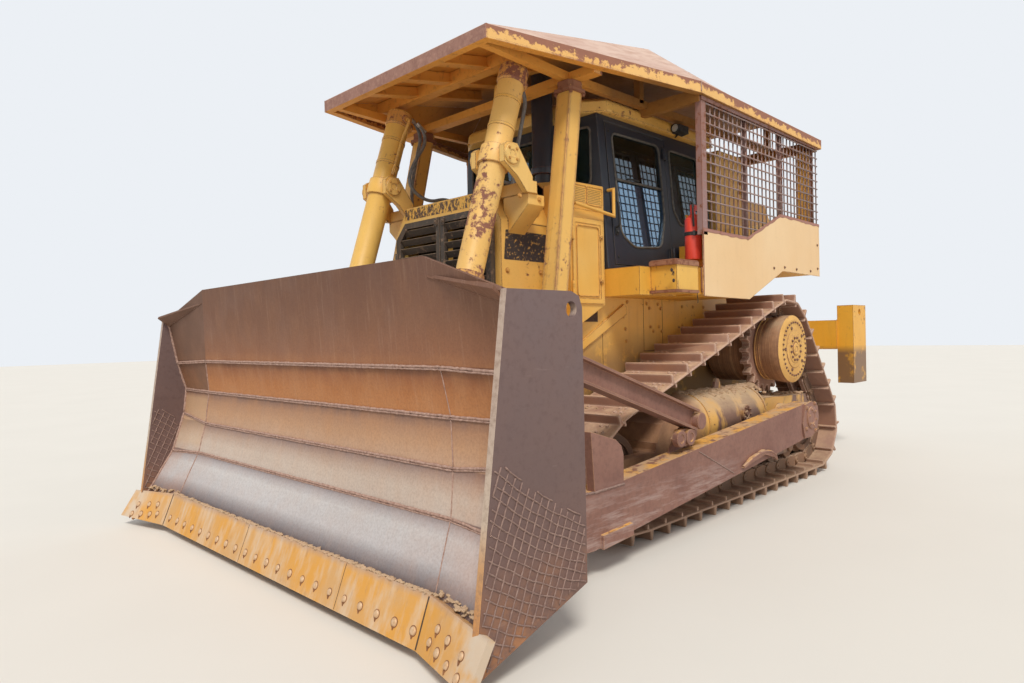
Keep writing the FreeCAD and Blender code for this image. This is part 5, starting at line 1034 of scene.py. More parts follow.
def edge_soil():
    """Dry soil caught on the ledge where the edge meets the board, and behind the end bits."""
    shape = Shape()
    y = -1.69
    while y < 1.69:
        size = RNG.uniform(0.008, 0.021)
        off = Vector((-0.012, RNG.uniform(-0.004, 0.004), RNG.uniform(0.0, 0.008)))
        shape.clod(edge_point(y, 0.303)[0] + off, size)
        y += RNG.uniform(0.010, 0.022)
    for side in (-1, 1):
        for k in range(60):
            at = edge_point(side * RNG.uniform(1.70, 2.10), 0.29)[0]
            off = Vector((-0.03 - RNG.uniform(0, 0.05), 0, RNG.uniform(0.0, 0.03)))
            shape.clod(at + off, RNG.uniform(0.008, 0.02))
    shape.make("edge_soil", "blade", "soil")


ARM_Y = 1.65                 # the push arms' outer faces


def arm_details():
    """Welds, scoop lug, trunnion cap plate and brace pins on the push arms."""
    welds = Shape()
    for (x0, z0), (x1, z1), radius in (((2.221, 0.649), (1.683, 0.403), 0.006), ((3.18, 0.565), (3.50, 0.558), 0.008),
                                       ((3.505, 0.56), (4.20, 0.60), 0.008)):
        welds.weld((x0, ARM_Y, z0), (x1, ARM_Y, z1), radius, 0.015)
    welds.mirror().make("arm_welds", "blade", "hard_bead", True)
    lug = Shape()
    lug.slab("y", ARM_Y - 0.002, 0.035, [(0.93, 0.407), (0.948, 0.464), (1.167, 0.529), (1.397, 0.49), (1.545, 0.427),
                                         (1.397, 0.455), (1.167, 0.487), (0.985, 0.44)])
    lug.tube(smooth_line([(x, ARM_Y + out, z) for x, out, z in (
        (0.93, 0.02, 0.415), (0.955, 0.024, 0.47), (1.167, 0.026, 0.52), (1.397, 0.024, 0.485), (1.54, 0.016, 0.43))]),
        0.014)
    lug.slab("y", 1.636, 0.022, [(0.239, 0.835), (0.10, 0.86), (-0.05, 0.80), (-0.075, 0.69), (-0.02, 0.56),
                                 (0.12, 0.512), (0.262, 0.519), (0.31, 0.66)])
    lug.turned((0.11, 1.655, 0.70), LEFT, [(0, 0.105), (0.014, 0.105), (0.020, 0.092), (0.020, 0.06), (0.012, 0.052),
                                           (0.012, 0.02)], 32)
    lug.bolts(circle((0.11, 1.673, 0.70), 0.080, 6, 0.3), LEFT, 0.011, 0.012)
    lug.bolts(standing("y", 1.658, ((0.215, 0.80), (0.235, 0.60), (0.03, 0.83), (0.02, 0.565))), LEFT, 0.016, 0.016)
    lug.mirror().make("arm_trunnion_plates", "blade", "push_steel")
    pins = Shape()
    for x, z in ((2.445, 0.771), (2.313, 0.769)):
        pins.turned((x, 1.60, z), LEFT, [(0, 0.062), (0.042, 0.062), (0.046, 0.056), (0.046, 0.034), (0.038, 0.030),
                                         (0.038, 0.01)], 28)
    pins.slab("y", 1.585, 0.035, [(2.445, 0.835), (2.313, 0.833), (2.252, 0.77), (2.313, 0.706), (2.445, 0.708),
                                  (2.508, 0.772)])
    pins.turned((2.183, 1.642, 0.877), LEFT, [(0, 0.064), (0.018, 0.064), (0.022, 0.055), (0.022, 0.02)], 28)
    pins.mirror().make("brace_pins", "blade", "push_steel")


# Undercarriage

TRACK_Y = 1.125
SPROCKET_Z = 1.364
IDLER_Z = 0.515
WHEELS = (((-0.750, IDLER_Z), 0.360), ((0.0, SPROCKET_Z), 0.420), ((2.720, IDLER_Z), 0.360))
SHOES = 41
RECOIL_Z = 0.755             # the recoil housings' axis
LINK_OUTLINE = ((-0.095, -0.040), (-0.05, -0.050), (0.06, -0.052), (0.115, -0.034), (0.128, 0.0), (0.112, 0.034),
                (0.07, 0.058), (-0.07, 0.058), (-0.108, 0.034), (-0.118, 0.0))
LIP_OUTLINE = ((-0.118, 0.066), (-0.112, 0.034), (-0.100, 0.030), (-0.094, 0.064))


def track_pins():
    """The pins' (x, z) places along the track's loop."""
    runs = []
    for i, (a, ra) in enumerate(WHEELS):
        b, rb = WHEELS[(i + 1) % 3]
        lean = math.atan2(b[1] - a[1], b[0] - a[0]) + math.pi / 2 - math.asin((rb - ra) / math.dist(a, b))
        turn = (math.cos(lean), math.sin(lean))
        runs.append(((a[0] + ra * turn[0], a[1] + ra * turn[1]), (b[0] + rb * turn[0], b[1] + rb * turn[1])))
    line = []
    for i, (start, end) in enumerate(runs):
        centre, radius = WHEELS[(i + 1) % 3]
        leave = runs[(i + 1) % 3][0]
        first = math.atan2(end[1] - centre[1], end[0] - centre[0])
        sweep = (first - math.atan2(leave[1] - centre[1], leave[0] - centre[0])) % (2 * math.pi)
        line.append(start)
        line += [(centre[0] + radius * math.cos(first - sweep * k / 40),
                  centre[1] + radius * math.sin(first - sweep * k / 40)) for k in range(41)]
    line.append(line[0])
    gone = [0.0]
    for a, b in zip(line, line[1:]):
        gone.append(gone[-1] + math.dist(a, b))
    pins = []
    k = 0
    for i in range(SHOES):
        s = gone[-1] * (i + 0.5) / SHOES
        while gone[k + 1] < s:
            k += 1
        share = (s - gone[k]) / (gone[k + 1] - gone[k])
        pins.append(tuple(a + (b - a) * share for a, b in zip(line[k], line[k + 1])))
    return pins


def chain_details():
    """Link plates with their pin bosses, shoe bolts, worn grouser crowns and packed dust on the shoes of the top run.
    """
    pins = track_pins()
    links = Shape()
    bolts = Shape()
    crumbs = Shape()
    lips = Shape()
    for i, pin in enumerate(pins):
        after = pins[(i + 1) % SHOES]
        pitch = math.dist(pin, after)
        ux, uz = (after[0] - pin[0]) / pitch, (after[1] - pin[1]) / pitch
        mx, mz = (pin[0] + after[0]) / 2, (pin[1] + after[1]) / 2

        def place(along, out, y):
            return Vector((mx + ux * along - uz * out, y, mz + uz * along + ux * out))

        for side in (-1, 1):
            for face in (-1, 1):
                y = side * TRACK_Y + face * 0.097
                links.prism([place(a, o, y) for a, o in LINK_OUTLINE], (0, face * 0.014, 0))
                links.turned(place(-pitch / 2, 0, y + face * 0.010), (0, face, 0),
                             [(0, 0.034), (0.016, 0.034), (0.020, 0.028), (0.020, 0.013), (0.012, 0.010)], 14)
            bolts.bolts([place(along, 0.085, side * TRACK_Y + y) for y in (-0.205, -0.150, 0.150, 0.205)
                         for along in (-0.015, 0.055)], (-uz, 0, ux), 0.013, 0.014)
            lips.prism([place(a, o, side * TRACK_Y - 0.295) for a, o in LIP_OUTLINE], (0, 0.59, 0))
            if ux > 0.9 and mz > 0.6:
                for k in range(10):
                    at = place(RNG.uniform(-0.03, 0.10), 0.086, side * TRACK_Y + RNG.uniform(-0.29, 0.29))
                    crumbs.clod(at, RNG.uniform(0.004, 0.015))
    links.make("track_link_plates", "tractor", "link_steel")
    bolts.make("track_shoe_bolts", "tractor", "track_steel")
    crumbs.make("track_soil", "tractor", "soil")
    lips.make("track_shoe_lips", "tractor", "track_steel")


def frame_soil():
    """Soil heaped on the recoil housings and the track frames' rear ends."""
    shape = Shape()
    radius = 0.262
    for side in (-1, 1):
        for k in range(420):
            x = RNG.uniform(0.30, 1.60)
            lean = RNG.gauss(0.05, 0.33)
            if abs(lean) <= 0.75:
                at = (x, side * (TRACK_Y + radius * math.sin(lean)), RECOIL_Z + radius * math.cos(lean))
                shape.clod(at, RNG.uniform(0.006, 0.046) * (1.2 - abs(lean)))
        for k in range(200):
            at = (RNG.uniform(-0.52, 0.46), side * (TRACK_Y + RNG.uniform(-0.19, 0.19)), 0.885)
            shape.clod(at, RNG.uniform(0.006, 0.034))
    shape.make("track_frame_soil", "tractor", "soil")


def frame_details():
    """Recoil covers with their bolts, lifting eyes and guard plates on the track frames."""
    shape = Shape()
    cover = (0.945, 1.402, 0.805)
    shape.turned(cover, LEFT, [(-0.004, 0.080), (0.010, 0.080), (0.014, 0.074), (0.014, 0.045), (0.006, 0.040),
                               (0.006, 0.024), (0.018, 0.022), (0.018, 0.006)], 28)
    shape.bolts(circle((cover[0], cover[1] + 0.013, cover[2]), 0.060, 8, 0.2), LEFT, 0.009, 0.012)
    shape.slab("y", 1.135, 0.025, [(0.95, 1.00), (0.965, 1.085), (0.99, 1.115), (1.03, 1.12), (1.06, 1.09),
                                   (1.085, 1.00)])
    for x in (0.52, 1.58):
        shape.turned((x, TRACK_Y, RECOIL_Z), AHEAD, [(-0.012, 0.268), (-0.010, 0.274), (0.010, 0.274),
                                                     (0.012, 0.268)], 40)
    shape.mirror().make("track_frame_covers", "tractor", "frame_steel")
    caps = Shape()
    for k in range(8):
        x = -0.33 + k * (2.63 / 7)
        caps.turned((x, 1.243, 0.325), LEFT, [(0, 0.055), (0.018, 0.055), (0.024, 0.046), (0.024, 0.012)], 18)
        caps.bolts([(x + dx, 1.243, 0.335) for dx in (-0.075, 0.075)], LEFT, 0.013, 0.016)
    caps.mirror().make("roller_end_caps", "tractor", "link_steel")


DRIVE_FACE_Y = 1.456


def drive_details():
    """Rim bolts, hub bolts and steps on the final drives' covers."""
    rust = Shape()
    for y, radius, count, first, size, height in ((DRIVE_FACE_Y, 0.266, 34, 0.0, 0.0095, 0.014),
                                                  (1.4695, 0.112, 12, math.pi / 12, 0.011, 0.015),
                                                  (DRIVE_FACE_Y, 0.215, 5, 0.0, 0.014, 0.014)):
        rust.bolts(circle((0, y, SPROCKET_Z), radius, count, first), LEFT, size, height)
    shape = Shape()
    shape.turned((0, DRIVE_FACE_Y, SPROCKET_Z), LEFT, [(0, 0.19), (0.006, 0.19), (0.009, 0.184), (0.009, 0.150)], 48)
    shape.turned((0, 1.44, SPROCKET_Z), LEFT, [(0, 0.062), (0.034, 0.062), (0.042, 0.050), (0.042, 0.03),
                                               (0.036, 0.024), (0.036, 0.006)], 24)
    for y, outer in ((1.185, 0.318), (1.23, 0.318), (1.345, 0.334)):
        shape.turned((0, y, SPROCKET_Z), LEFT, [(-0.006, 0.300), (-0.003, outer), (0.003, outer), (0.006, 0.300)], 48)
    shape.mirror().make("drive_cover_steps", "tractor", "drive_paint")
    rust.mirror().make("drive_bolts", "tractor", "bolt")


# Radiator guard and lift cylinders

GUARD_Y = 0.660              # the guard's side
GRILLE_X = 3.3455            # the grille doors' face
LIFT_Y = 0.717
LIFT_TRUNNION = Vector((3.403, 0, 2.850))
LIFT_DOWN = Vector((0.3043, 0, -0.9526))
LIFT_AHEAD = Vector((0.9526, 0, 0.3043))


def lift_at(s, y, ahead=0.0):
    """A place s down a lift cylinder from its trunnion, and ahead of its axis."""
    return LIFT_TRUNNION + LIFT_DOWN * s + LIFT_AHEAD * ahead + Vector((0, y, 0))


def guard_details():
    """Worn patches, filler cap, panel seams and bolts on the radiator guard."""
    patches = Shape()
    patches.slab("y", 0.6603, 0.0008, rounded_corners([(3.251, 2.356), (2.778, 2.352), (2.821, 2.129),
                                                       (3.273, 2.131)], 0.012))
    patches.mirror().make("worn_side_patches", "tractor", "side_patch")
    band = Shape()
    band.slab("x", 3.3003, 0.0008, rounded_corners([(-0.53, 2.565), (0.41, 2.565), (0.40, 2.655), (-0.515, 2.655)],
                                                   0.010))
    band.make("worn_front_band", "tractor", "worn_band")
    seams = Shape()
    seams.slab("y", GUARD_Y, 0.0012, [(2.770, 2.418), (3.230, 2.418), (3.232, 2.4235), (2.770, 2.4235)])
    seams.slab("y", GUARD_Y, 0.0012, rectangle(2.768, 1.30, 2.773, 2.418))
    seams.mirror().make("guard_seams", "tractor", "dark_steel_and_hole_shade")
    cap = Shape()
    normal = Vector((0, 0.904, 0.427))
    cap.turned((2.80, 0.572, 2.615), normal, [(-0.01, 0.050), (0.012, 0.050), (0.016, 0.044)], 24)
    cap.turned((2.80, 0.579, 2.618), normal, [(0.0, 0.036), (0.035, 0.036), (0.045, 0.030), (0.047, 0.012)], 20)
    for a in turns(4):
        at = Vector((2.80 + math.cos(a) * 0.037, 0.60, 2.628 + math.sin(a) * 0.03))
        cap.tube([at, at + normal * 0.018], 0.007, 6)
    cap.tube(smooth_line([(2.81, 0.612, 2.622), (2.84, 0.64, 2.57), (2.875, 0.652, 2.53), (2.90, 0.642, 2.50),
                          (2.905, 0.636, 2.49)]), 0.004, 6)
    cap.make("filler_cap", "tractor", "body_paint")
    bolts = Shape()
    bolts.bolts(standing("y", GUARD_Y, ((2.872, 2.05), (2.80, 1.55), (3.24, 1.55), (3.24, 2.05), (2.80, 1.15),
                                        (3.24, 1.15))), LEFT, 0.016, 0.014)
    bolts.bolts([(2.80, y, 2.786) for y in (0.47, 0.30, 0.10)], (0.24, 0, 0.97), 0.012, 0.012)
    bolts.mirror().make("guard_bolts", "tractor", "bolt_paint")


def grille_details():
    """Latches and lips on the grille doors."""
    for word, side in SIDES:
        shape = Shape()
        for z in (2.49, 1.42):
            shape.slab("x", GRILLE_X, 0.010, [(side * y, z + dz) for y, dz in (
                (0.030, -0.03), (0.062, -0.03), (0.070, 0.02), (0.046, 0.034), (0.024, 0.02))])
            shape.bolts([(3.355, side * 0.046, z)], AHEAD, 0.011, 0.010)
        shape.bolts([(GRILLE_X, side * y, z) for y, z in ((0.572, 1.37), (0.572, 1.92), (0.45, 2.47))], AHEAD,
                    0.010, 0.009)
        shape.make("grille_latches_" + word, "grille_door_" + word, "grille_dark")


def yoke_details():
    """Bearing caps over the trunnion pins."""
    caps = Shape()
    bolts = Shape()
    for y, out in ((0.892, 1), (0.542, -1)):
        x, _, z = LIFT_TRUNNION
        caps.turned((x, y, z), (0, out, 0), [(-0.003, 0.075), (0.012, 0.075), (0.017, 0.068), (0.017, 0.030),
                                             (0.012, 0.024)], 26)
        bolts.bolts(circle((x, y + out * 0.015, z), 0.052, 4, math.pi / 4), (0, out, 0), 0.009, 0.012)
    bolts.bolts([(3.30, 0.862, 2.57), (3.10, 0.871, 2.565)], LEFT, 0.014, 0.014)
    caps.mirror().make("yoke_caps", "tractor", "body_paint")
    bolts.mirror().make("yoke_bolts", "tractor", "bolt_paint")


# Control points from the barrel's head to the guard's top
HOSES = (
    ((3.085, 0.66, 3.505), (2.985, 0.66, 3.42), (3.052, 0.66, 3.18), (3.112, 0.655, 2.95), (3.135, 0.64, 2.80),
     (3.137, 0.625, 2.60)),
    ((3.072, 0.60, 3.46), (2.965, 0.57, 3.36), (3.21, 0.53, 3.06), (3.27, 0.51, 2.865), (3.08, 0.48, 2.745),
     (2.90, 0.44, 2.80), (2.84, 0.42, 2.765)),
)
# (down from the trunnion, inward from the axis)
FEED_PIPE = ((-0.66, 0.105), (-0.66, 0.160), (-0.60, 0.163), (-0.50, 0.135), (-0.42, 0.118), (-0.14, 0.118))


def barrel_details():
    """Head castings, feed pipes, clamps and hoses on the lift cylinders' barrels."""
    for word, side in SIDES:
        body = "lift_barrel_" + word
        y = side * LIFT_Y
        head = Shape()
        head.turned(lift_at(0, y), LIFT_DOWN, [(-0.738, 0.078), (-0.736, 0.104), (-0.722, 0.112), (-0.618, 0.114),
                                               (-0.602, 0.104)], 12)
        head.bolts([lift_at(-0.735, y + math.sin(a) * 0.085, math.cos(a) * 0.085) for a in turns(6, 0.5)],
                   -LIFT_DOWN, 0.012, 0.010)
        head.turned(lift_at(-0.665, y, -0.10), -LIFT_AHEAD, [(0, 0.042), (0.030, 0.042), (0.036, 0.036)], 10)
        head.turned(lift_at(-0.665, side * (LIFT_Y - 0.09)), (0, -side, 0), [(0, 0.036), (0.026, 0.036),
                                                                             (0.032, 0.030)], 10)
        head.turned(lift_at(0, y), LIFT_DOWN, [(0.895, 0.101), (0.897, 0.112), (0.955, 0.112), (0.962, 0.104)], 12)
        head.make("barrel_heads_" + word, body, "head_worn")
        pipes = Shape()
        pipes.tube(smooth_line([lift_at(s, side * (LIFT_Y - d)) for s, d in FEED_PIPE]), 0.013, 10)
        pipes.turned(lift_at(-0.145, side * (LIFT_Y - 0.118)), -LIFT_DOWN, [(-0.02, 0.015), (0.02, 0.018),
                                                                            (0.04, 0.018), (0.05, 0.013)], 6)
        for s in (-0.46, -0.24):
            pipes.clamp(lift_at(s, y), LIFT_DOWN, 0.099, 0.104, 0.014)
        pipes.make("barrel_pipes_" + word, body, "body_paint")
        ends = Shape()
        for k, line in enumerate(HOSES):
            line = [Vector((x, side * y, z)) for x, y, z in line]
            points = smooth_line(line, 12)
            tube = Shape()
            tube.tube(points, 0.015, 12)
            hose = tube.make("lift_hose_%s_%d" % (word, k), None, "hose", True)
            tuple(P(*points[0]))
            tuple(P(*points[-1]))
            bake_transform(hose)
            a, b = line[:2]
            ends.turned(a + (a - b) * 0.12, b - a, [(0.0, 0.019), (0.03, 0.019), (0.034, 0.016), (0.105, 0.0175),
                                                   (0.11, 0.0155)], 10)
        ends.make("hose_ferrules_" + word, body, "ferrule")


# Canopy

ROOF_FRONT = Vector((3.750, 1.020, 3.630))
ROOF_MID = Vector((1.780, 1.470, 3.607))
ROOF_BREAK = Vector((1.850, 1.020, 3.980))
ROOF_REAR = Vector((-0.715, 1.470, 3.580))
ROOF_REAR_TOP = Vector((-0.725, 1.020, 3.870))
ROOF_SHEET = (0, 0, -0.010)
EDGE_FALL = 0.10
POST_Y = 0.907


def edge_channel(shape, a, b):
    """A folded channel under the roof's edge: rounded fold, upright face and bottom lip."""
    inward = Vector(UP).cross(b - a).normalized()
    for low, high, start, end in ((-0.012, -0.002, -EDGE_FALL, -0.008), (-0.004, 0.055, -EDGE_FALL, -0.092)):
        ring = [a + inward * low, a + inward * high, b + inward * high, b + inward * low]
        shape.prism([p + Vector((0, 0, start)) for p in ring], (0, 0, end - start))
    for off, radius, sides in ((Vector((0, 0, -0.012)), 0.012, 12), (inward * -0.006 + Vector((0, 0, -0.096)), 0.006, 8)):
        shape.tube([a + off, b + off], radius, sides)


def rail(shape, a, b, wide=0.060, tall=0.064):
    """A rectangular rail between two places."""
    a, b = Vector(a), Vector(b)
    side = Vector(UP).cross(b - a).normalized() * wide / 2
    rise = Vector((0, 0, tall / 2))
    shape.prism([a - side - rise, a + side - rise, a + side + rise, a - side + rise], b - a)


def canopy_roof():
    """Hipped sheet roof with folded edge channels, and the rails, beams and uprights that carry it."""
    shape = Shape()
    for points in ((ROOF_FRONT, ROOF_MID, ROOF_BREAK), (ROOF_MID, ROOF_REAR_TOP, ROOF_BREAK),
                   (ROOF_MID, ROOF_REAR, ROOF_REAR_TOP)):
        shape.prism(points, ROOF_SHEET)
    edge_channel(shape, ROOF_FRONT, ROOF_MID)
    edge_channel(shape, ROOF_MID, ROOF_REAR)
    for p in (ROOF_FRONT, ROOF_MID, ROOF_REAR):
        shape.tube([p + Vector((0, 0, -0.004)), p + Vector((0, 0, -EDGE_FALL))], 0.012, 12)
    for x, z in ((3.735, 3.57), (-0.70, 3.565)):
        rail(shape, (2.757, POST_Y, 3.533), (x, POST_Y, z))
    for x, top in ((1.80, 3.968), (-0.70, 3.862)):
        shape.box((x, POST_Y - 0.03, 3.545), (x + 0.06, POST_Y + 0.03, top))
    shape.mirror()
    for a, b in ((ROOF_FRONT, ROOF_BREAK), (ROOF_BREAK, ROOF_REAR_TOP)):
        shape.prism((a, b, flipped(b), flipped(a)), ROOF_SHEET)
    edge_channel(shape, flipped(ROOF_FRONT), ROOF_FRONT)
    edge_channel(shape, ROOF_REAR, flipped(ROOF_REAR))
    shape.box((2.707, -1.18, 3.50), (2.807, 1.18, 3.565))
    for x in (-0.70, 1.69):
        shape.box((x, -1.44, 3.455), (x + 0.06, 1.44, 3.560))
    made = shape.make("canopy_sheet_roof", "tractor", "canopy_paint")
    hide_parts("canopy_roof")


def front_slope(x):
    """The height of the roof's front slope from below."""
    return 3.965 - (x - 1.85) * 0.1842


def canopy_details():
    """Flanges and bolts over the posts, beads along the roof's seams and ribs under it."""
    flange = Shape()
    flange.box((2.676, 0.816, 3.412), (2.866, 1.006, 3.440), 0.022)
    flange.box((2.690, 0.832, 3.440), (2.852, 0.990, 3.498), 0.03)
    flange.bolts([(x, y, 3.412) for x in (2.698, 2.844) for y in (0.838, 0.984)], (0, 0, -1), 0.016, 0.020)
    flange.mirror().make("post_flanges", "tractor", "rust_cast")
    seams = Shape()
    for a, b in ((ROOF_FRONT, ROOF_BREAK), (ROOF_MID, ROOF_BREAK), (ROOF_BREAK, ROOF_REAR_TOP),
                 (ROOF_MID, ROOF_REAR_TOP)):
        seams.bead([p + Vector((0, 0, -0.0065)) for p in steps_along((a, b), 0.03)], 0.005)
    seams.bead([ROOF_MID + Vector((0.003, 0.013, -0.01 - 0.008 * k)) for k in range(11)], 0.006)
    seams.mirror().make("canopy_seams", "tractor", "bead", True)
    ribs = Shape()
    near, far = front_slope(2.46), front_slope(3.72)
    for y in (-0.44, 0.0, 0.44):
        for wide, drop, deep in ((0.022, 0.0, 0.075), (0.045, 0.075, 0.010)):
            ribs.slab("y", y - wide, 2 * wide, [(2.46, near - drop), (3.72, far - drop), (3.72, far - drop - deep),
                                                (2.46, near - drop - deep)])
    ribs.slab("y", -1.02, 2.04, [(3.12, front_slope(3.12)), (3.22, front_slope(3.22)),
                                 (3.22, front_slope(3.22) - 0.10), (3.12, front_slope(3.22) - 0.10)])
    ribs.make("canopy_ribs", "tractor", "canopy_paint")


# Cab

CAB_FRONT_X = 2.302
DOOR_WINDOW = ((1.48, 2.325), (1.90, 2.295), (2.085, 2.40), (2.115, 3.265), (1.395, 3.275), (1.385, 2.60))


def cab_y(z):
    """The cab side's distance from the middle."""
    return 0.9 - 0.1 * (z - 2.09) / 1.31


def gasket(shape, outline, radius, place, corner=0.055):
    """A rubber bead round a window."""
    shape.loop([place(u, v) for u, v in rounded_corners(outline, corner, 6)], radius)


def on_front(y, z):
    return Vector((CAB_FRONT_X, y, z))


def cab_details():
    """Gaskets, wiper, roof rail, lamps' lenses and drip rails on the cab."""
    seals = Shape()
    gasket(seals, [(0.70, 2.62), (1.12, 2.56), (1.225, 2.70), (1.225, 3.27), (0.70, 3.26)], 0.011,
           lambda x, z: Vector((x, cab_y(z) + 0.001, z)))
    gasket(seals, rectangle(0.455, 2.81, 0.735, 3.30), 0.011, on_front)
    seals.mirror()
    gasket(seals, rectangle(-0.395, 2.90, 0.395, 3.30), 0.011, on_front)
    seals.make("cab_gaskets", "tractor", "rubber", True)
    wiper = Shape()
    wiper.tube([(2.315, 0.10, 3.33), (2.322, 0.16, 3.12), (2.318, 0.20, 3.05)], 0.006)
    wiper.tube([(2.312, 0.13, 3.24), (2.312, 0.27, 2.93)], 0.006)
    wiper.turned((2.300, 0.10, 3.335), AHEAD, [(0, 0.02), (0.02, 0.02), (0.026, 0.012)], 14)
    wiper.box((2.300, 0.04, 3.315), (2.318, 0.085, 3.355), 0.008)
    wiper.make("wiper", "tractor", "lamp_black")
    rails = Shape()
    rails.tube(smooth_line([(1.50, 0.78, 3.535), (1.50, 0.785, 3.60), (1.57, 0.785, 3.60), (1.98, 0.785, 3.60),
                            (2.05, 0.785, 3.60), (2.05, 0.78, 3.535)], 12), 0.012, 10)
    rails.tube([(0.50, 0.868, 3.412), (2.16, 0.868, 3.412), (2.425, 0.66, 3.412)], 0.009)
    rails.mirror().make("cab_roof_rails", "tractor", "body_paint", True)
    lens = Shape()
    lens.turned((1.262, 0.9125, 3.447), AHEAD, [(-0.010, 0.036), (0.002, 0.036), (0.007, 0.028), (0.009, 0.010)], 24)
    lens.mirror().make("lamp_lenses", "tractor", "lens", True)
    rims = Shape()
    rims.turned((1.260, 0.9125, 3.447), AHEAD, [(-0.012, 0.0405), (0.010, 0.0405), (0.012, 0.037), (0.003, 0.036)], 24)
    rims.tube([(1.20, 0.905, 3.40), (1.14, 0.84, 3.40), (1.10, 0.82, 3.412)], 0.008)
    rims.mirror().make("lamp_rims", "tractor", "lamp_black")


def door_details():
    """Gasket, split bar, latch and grab bar on each cab door."""
    for word, side in SIDES:
        def place(x, z, out=0.0):
            return Vector((x, side * (cab_y(z) + out), z))

        body = "cab_door_" + word
        seals = Shape()
        gasket(seals, DOOR_WINDOW, 0.010, lambda x, z: place(x, z, 0.001), 0.07)
        seals.tube([place(x, z, -0.002) for x, z in ((1.392, 2.872), (1.75, 2.870), (2.10, 2.868))], 0.011)
        seals.make("door_gasket_" + word, body, "rubber", True)
        latch = Shape()
        latch.tube(smooth_line([place(x, 2.885, out) for x, out in (
            (1.78, 0.0), (1.78, 0.028), (1.86, 0.028), (1.94, 0.028), (1.94, 0.0))]), 0.008)
        latch.tube(smooth_line([place(2.150, z, out) for z, out in (
            (2.45, 0.0), (2.45, 0.045), (2.56, 0.045), (2.68, 0.045), (2.68, 0.0))]), 0.010, 10)
        latch.prism([place(x, z, -0.002) for x, z in rectangle(2.132, 2.385, 2.168, 2.44)], (0, side * 0.016, 0))
        latch.turned(place(2.150, 2.41, 0.012), (0, side, 0), [(0, 0.013), (0.012, 0.013), (0.016, 0.009)], 14)
        latch.bolts([place(x, z) for z in (2.20, 3.27) for x in (1.34, 2.15)], (0, side, 0), 0.009, 0.008)
        latch.make("door_latch_" + word, body, "lamp_black")


# Sides

SKIRT_Y = 0.790
PANEL_Y = 1.4495
PANEL_TOP = ((1.742, 2.413), (0.954, 2.400), (0.253, 2.685), (-0.70, 2.676))


def side_box_details():
    """Perforated vents whose holes are dark discs of painted shade, door latches and edges on the side boxes."""
    # The vent holes are dark discs on the face: painted shade where the holes are.
    holes = Shape()
    for low, high in ((2.345, 2.515), (2.545, 2.715)):
        for row in range(9):
            for k in range(12):
                x = low + 0.006 + k * 0.0145 + (row % 2) * 0.007
                if x < high:
                    holes.add(circle((x, 0.8656, 2.612 + row * 0.0135), 0.0046, 6), [range(6)])
    holes.mirror().make("vent_holes_painted_shade", "tractor", "dark_steel_and_hole_shade")
    frames = Shape()
    for low, high in ((2.332, 2.524), (2.536, 2.726)):
        frames.loop(standing("y", 0.866, rounded_corners(rectangle(low, 2.597, high, 2.742), 0.015, 3)), 0.0045, 6)
    frames.tube([(2.316, 0.862, 2.552), (2.744, 0.862, 2.552)], 0.005, 6)
    frames.mirror().make("vent_frames", "tractor", "body_paint", True)
    for word, side in SIDES:
        door = Shape()
        for z in (1.98, 2.34):
            door.turned((2.372, side * 0.879, z), (0, side, 0), [(0, 0.022), (0.006, 0.022), (0.010, 0.016),
                                                                (0.010, 0.010), (0.005, 0.008)], 18)
            door.slab("y", side * 0.886, side * 0.010, [(2.364, z - 0.005), (2.395, z - 0.008), (2.398, z + 0.004),
                                                        (2.364, z + 0.006)])
        door.loop(standing("y", side * 0.880, rounded_corners(rectangle(2.40, 1.86, 2.68, 2.42), 0.03, 4)), 0.005, 6)
        door.make("engine_door_latches_" + word, "engine_door_" + word, "body_paint")


def skirt_details():
    """Bolts, seams, diagonal bar and a dark slot of painted shade on the plates beside the tracks."""
    spots = [(1.974, 1.726), (1.901, 1.829), (1.959, 1.70), (1.933, 1.593), (1.921, 1.486), (2.018, 1.726)]
    for x, z in ((1.58, 1.80), (1.397, 1.797), (1.522, 1.59), (1.387, 1.589)):
        spots += [(x - 0.022, z - 0.02), (x + 0.022, z + 0.02)]
    spots += [(x, z) for x in (1.0, 0.8, 0.6) for z in (1.80, 1.62)]
    bolts = Shape()
    bolts.bolts(standing("y", SKIRT_Y, spots), LEFT, 0.013, 0.013)
    bolts.mirror().make("skirt_bolts", "tractor", "bolt_paint")
    seams = Shape()
    # The rectangle from 2.320 to 2.505 is the slot: a dark sheet of painted shade where the slot's opening is.
    for corners in ((1.344, 1.39, 1.349, 1.86), (1.650, 1.39, 1.655, 1.86), (1.344, 1.39, 1.655, 1.395),
                    (2.320, 1.656, 2.505, 1.748), (2.256, 1.20, 2.261, 1.66)):
        seams.slab("y", SKIRT_Y, 0.0012, rectangle(*corners))
    seams.mirror().make("skirt_seams_and_slot_shade", "tractor", "dark_steel_and_hole_shade")
    diagonal = Shape()
    diagonal.slab("y", SKIRT_Y - 0.001, 0.020, [(2.565, 1.491), (1.970, 1.806), (1.940, 1.790), (1.927, 1.726),
                                                (2.554, 1.425)])
    diagonal.weld((2.56, SKIRT_Y + 0.002, 1.418), (1.92, SKIRT_Y + 0.002, 1.72), 0.006)
    diagonal.mirror().make("skirt_bars", "tractor", "body_paint")


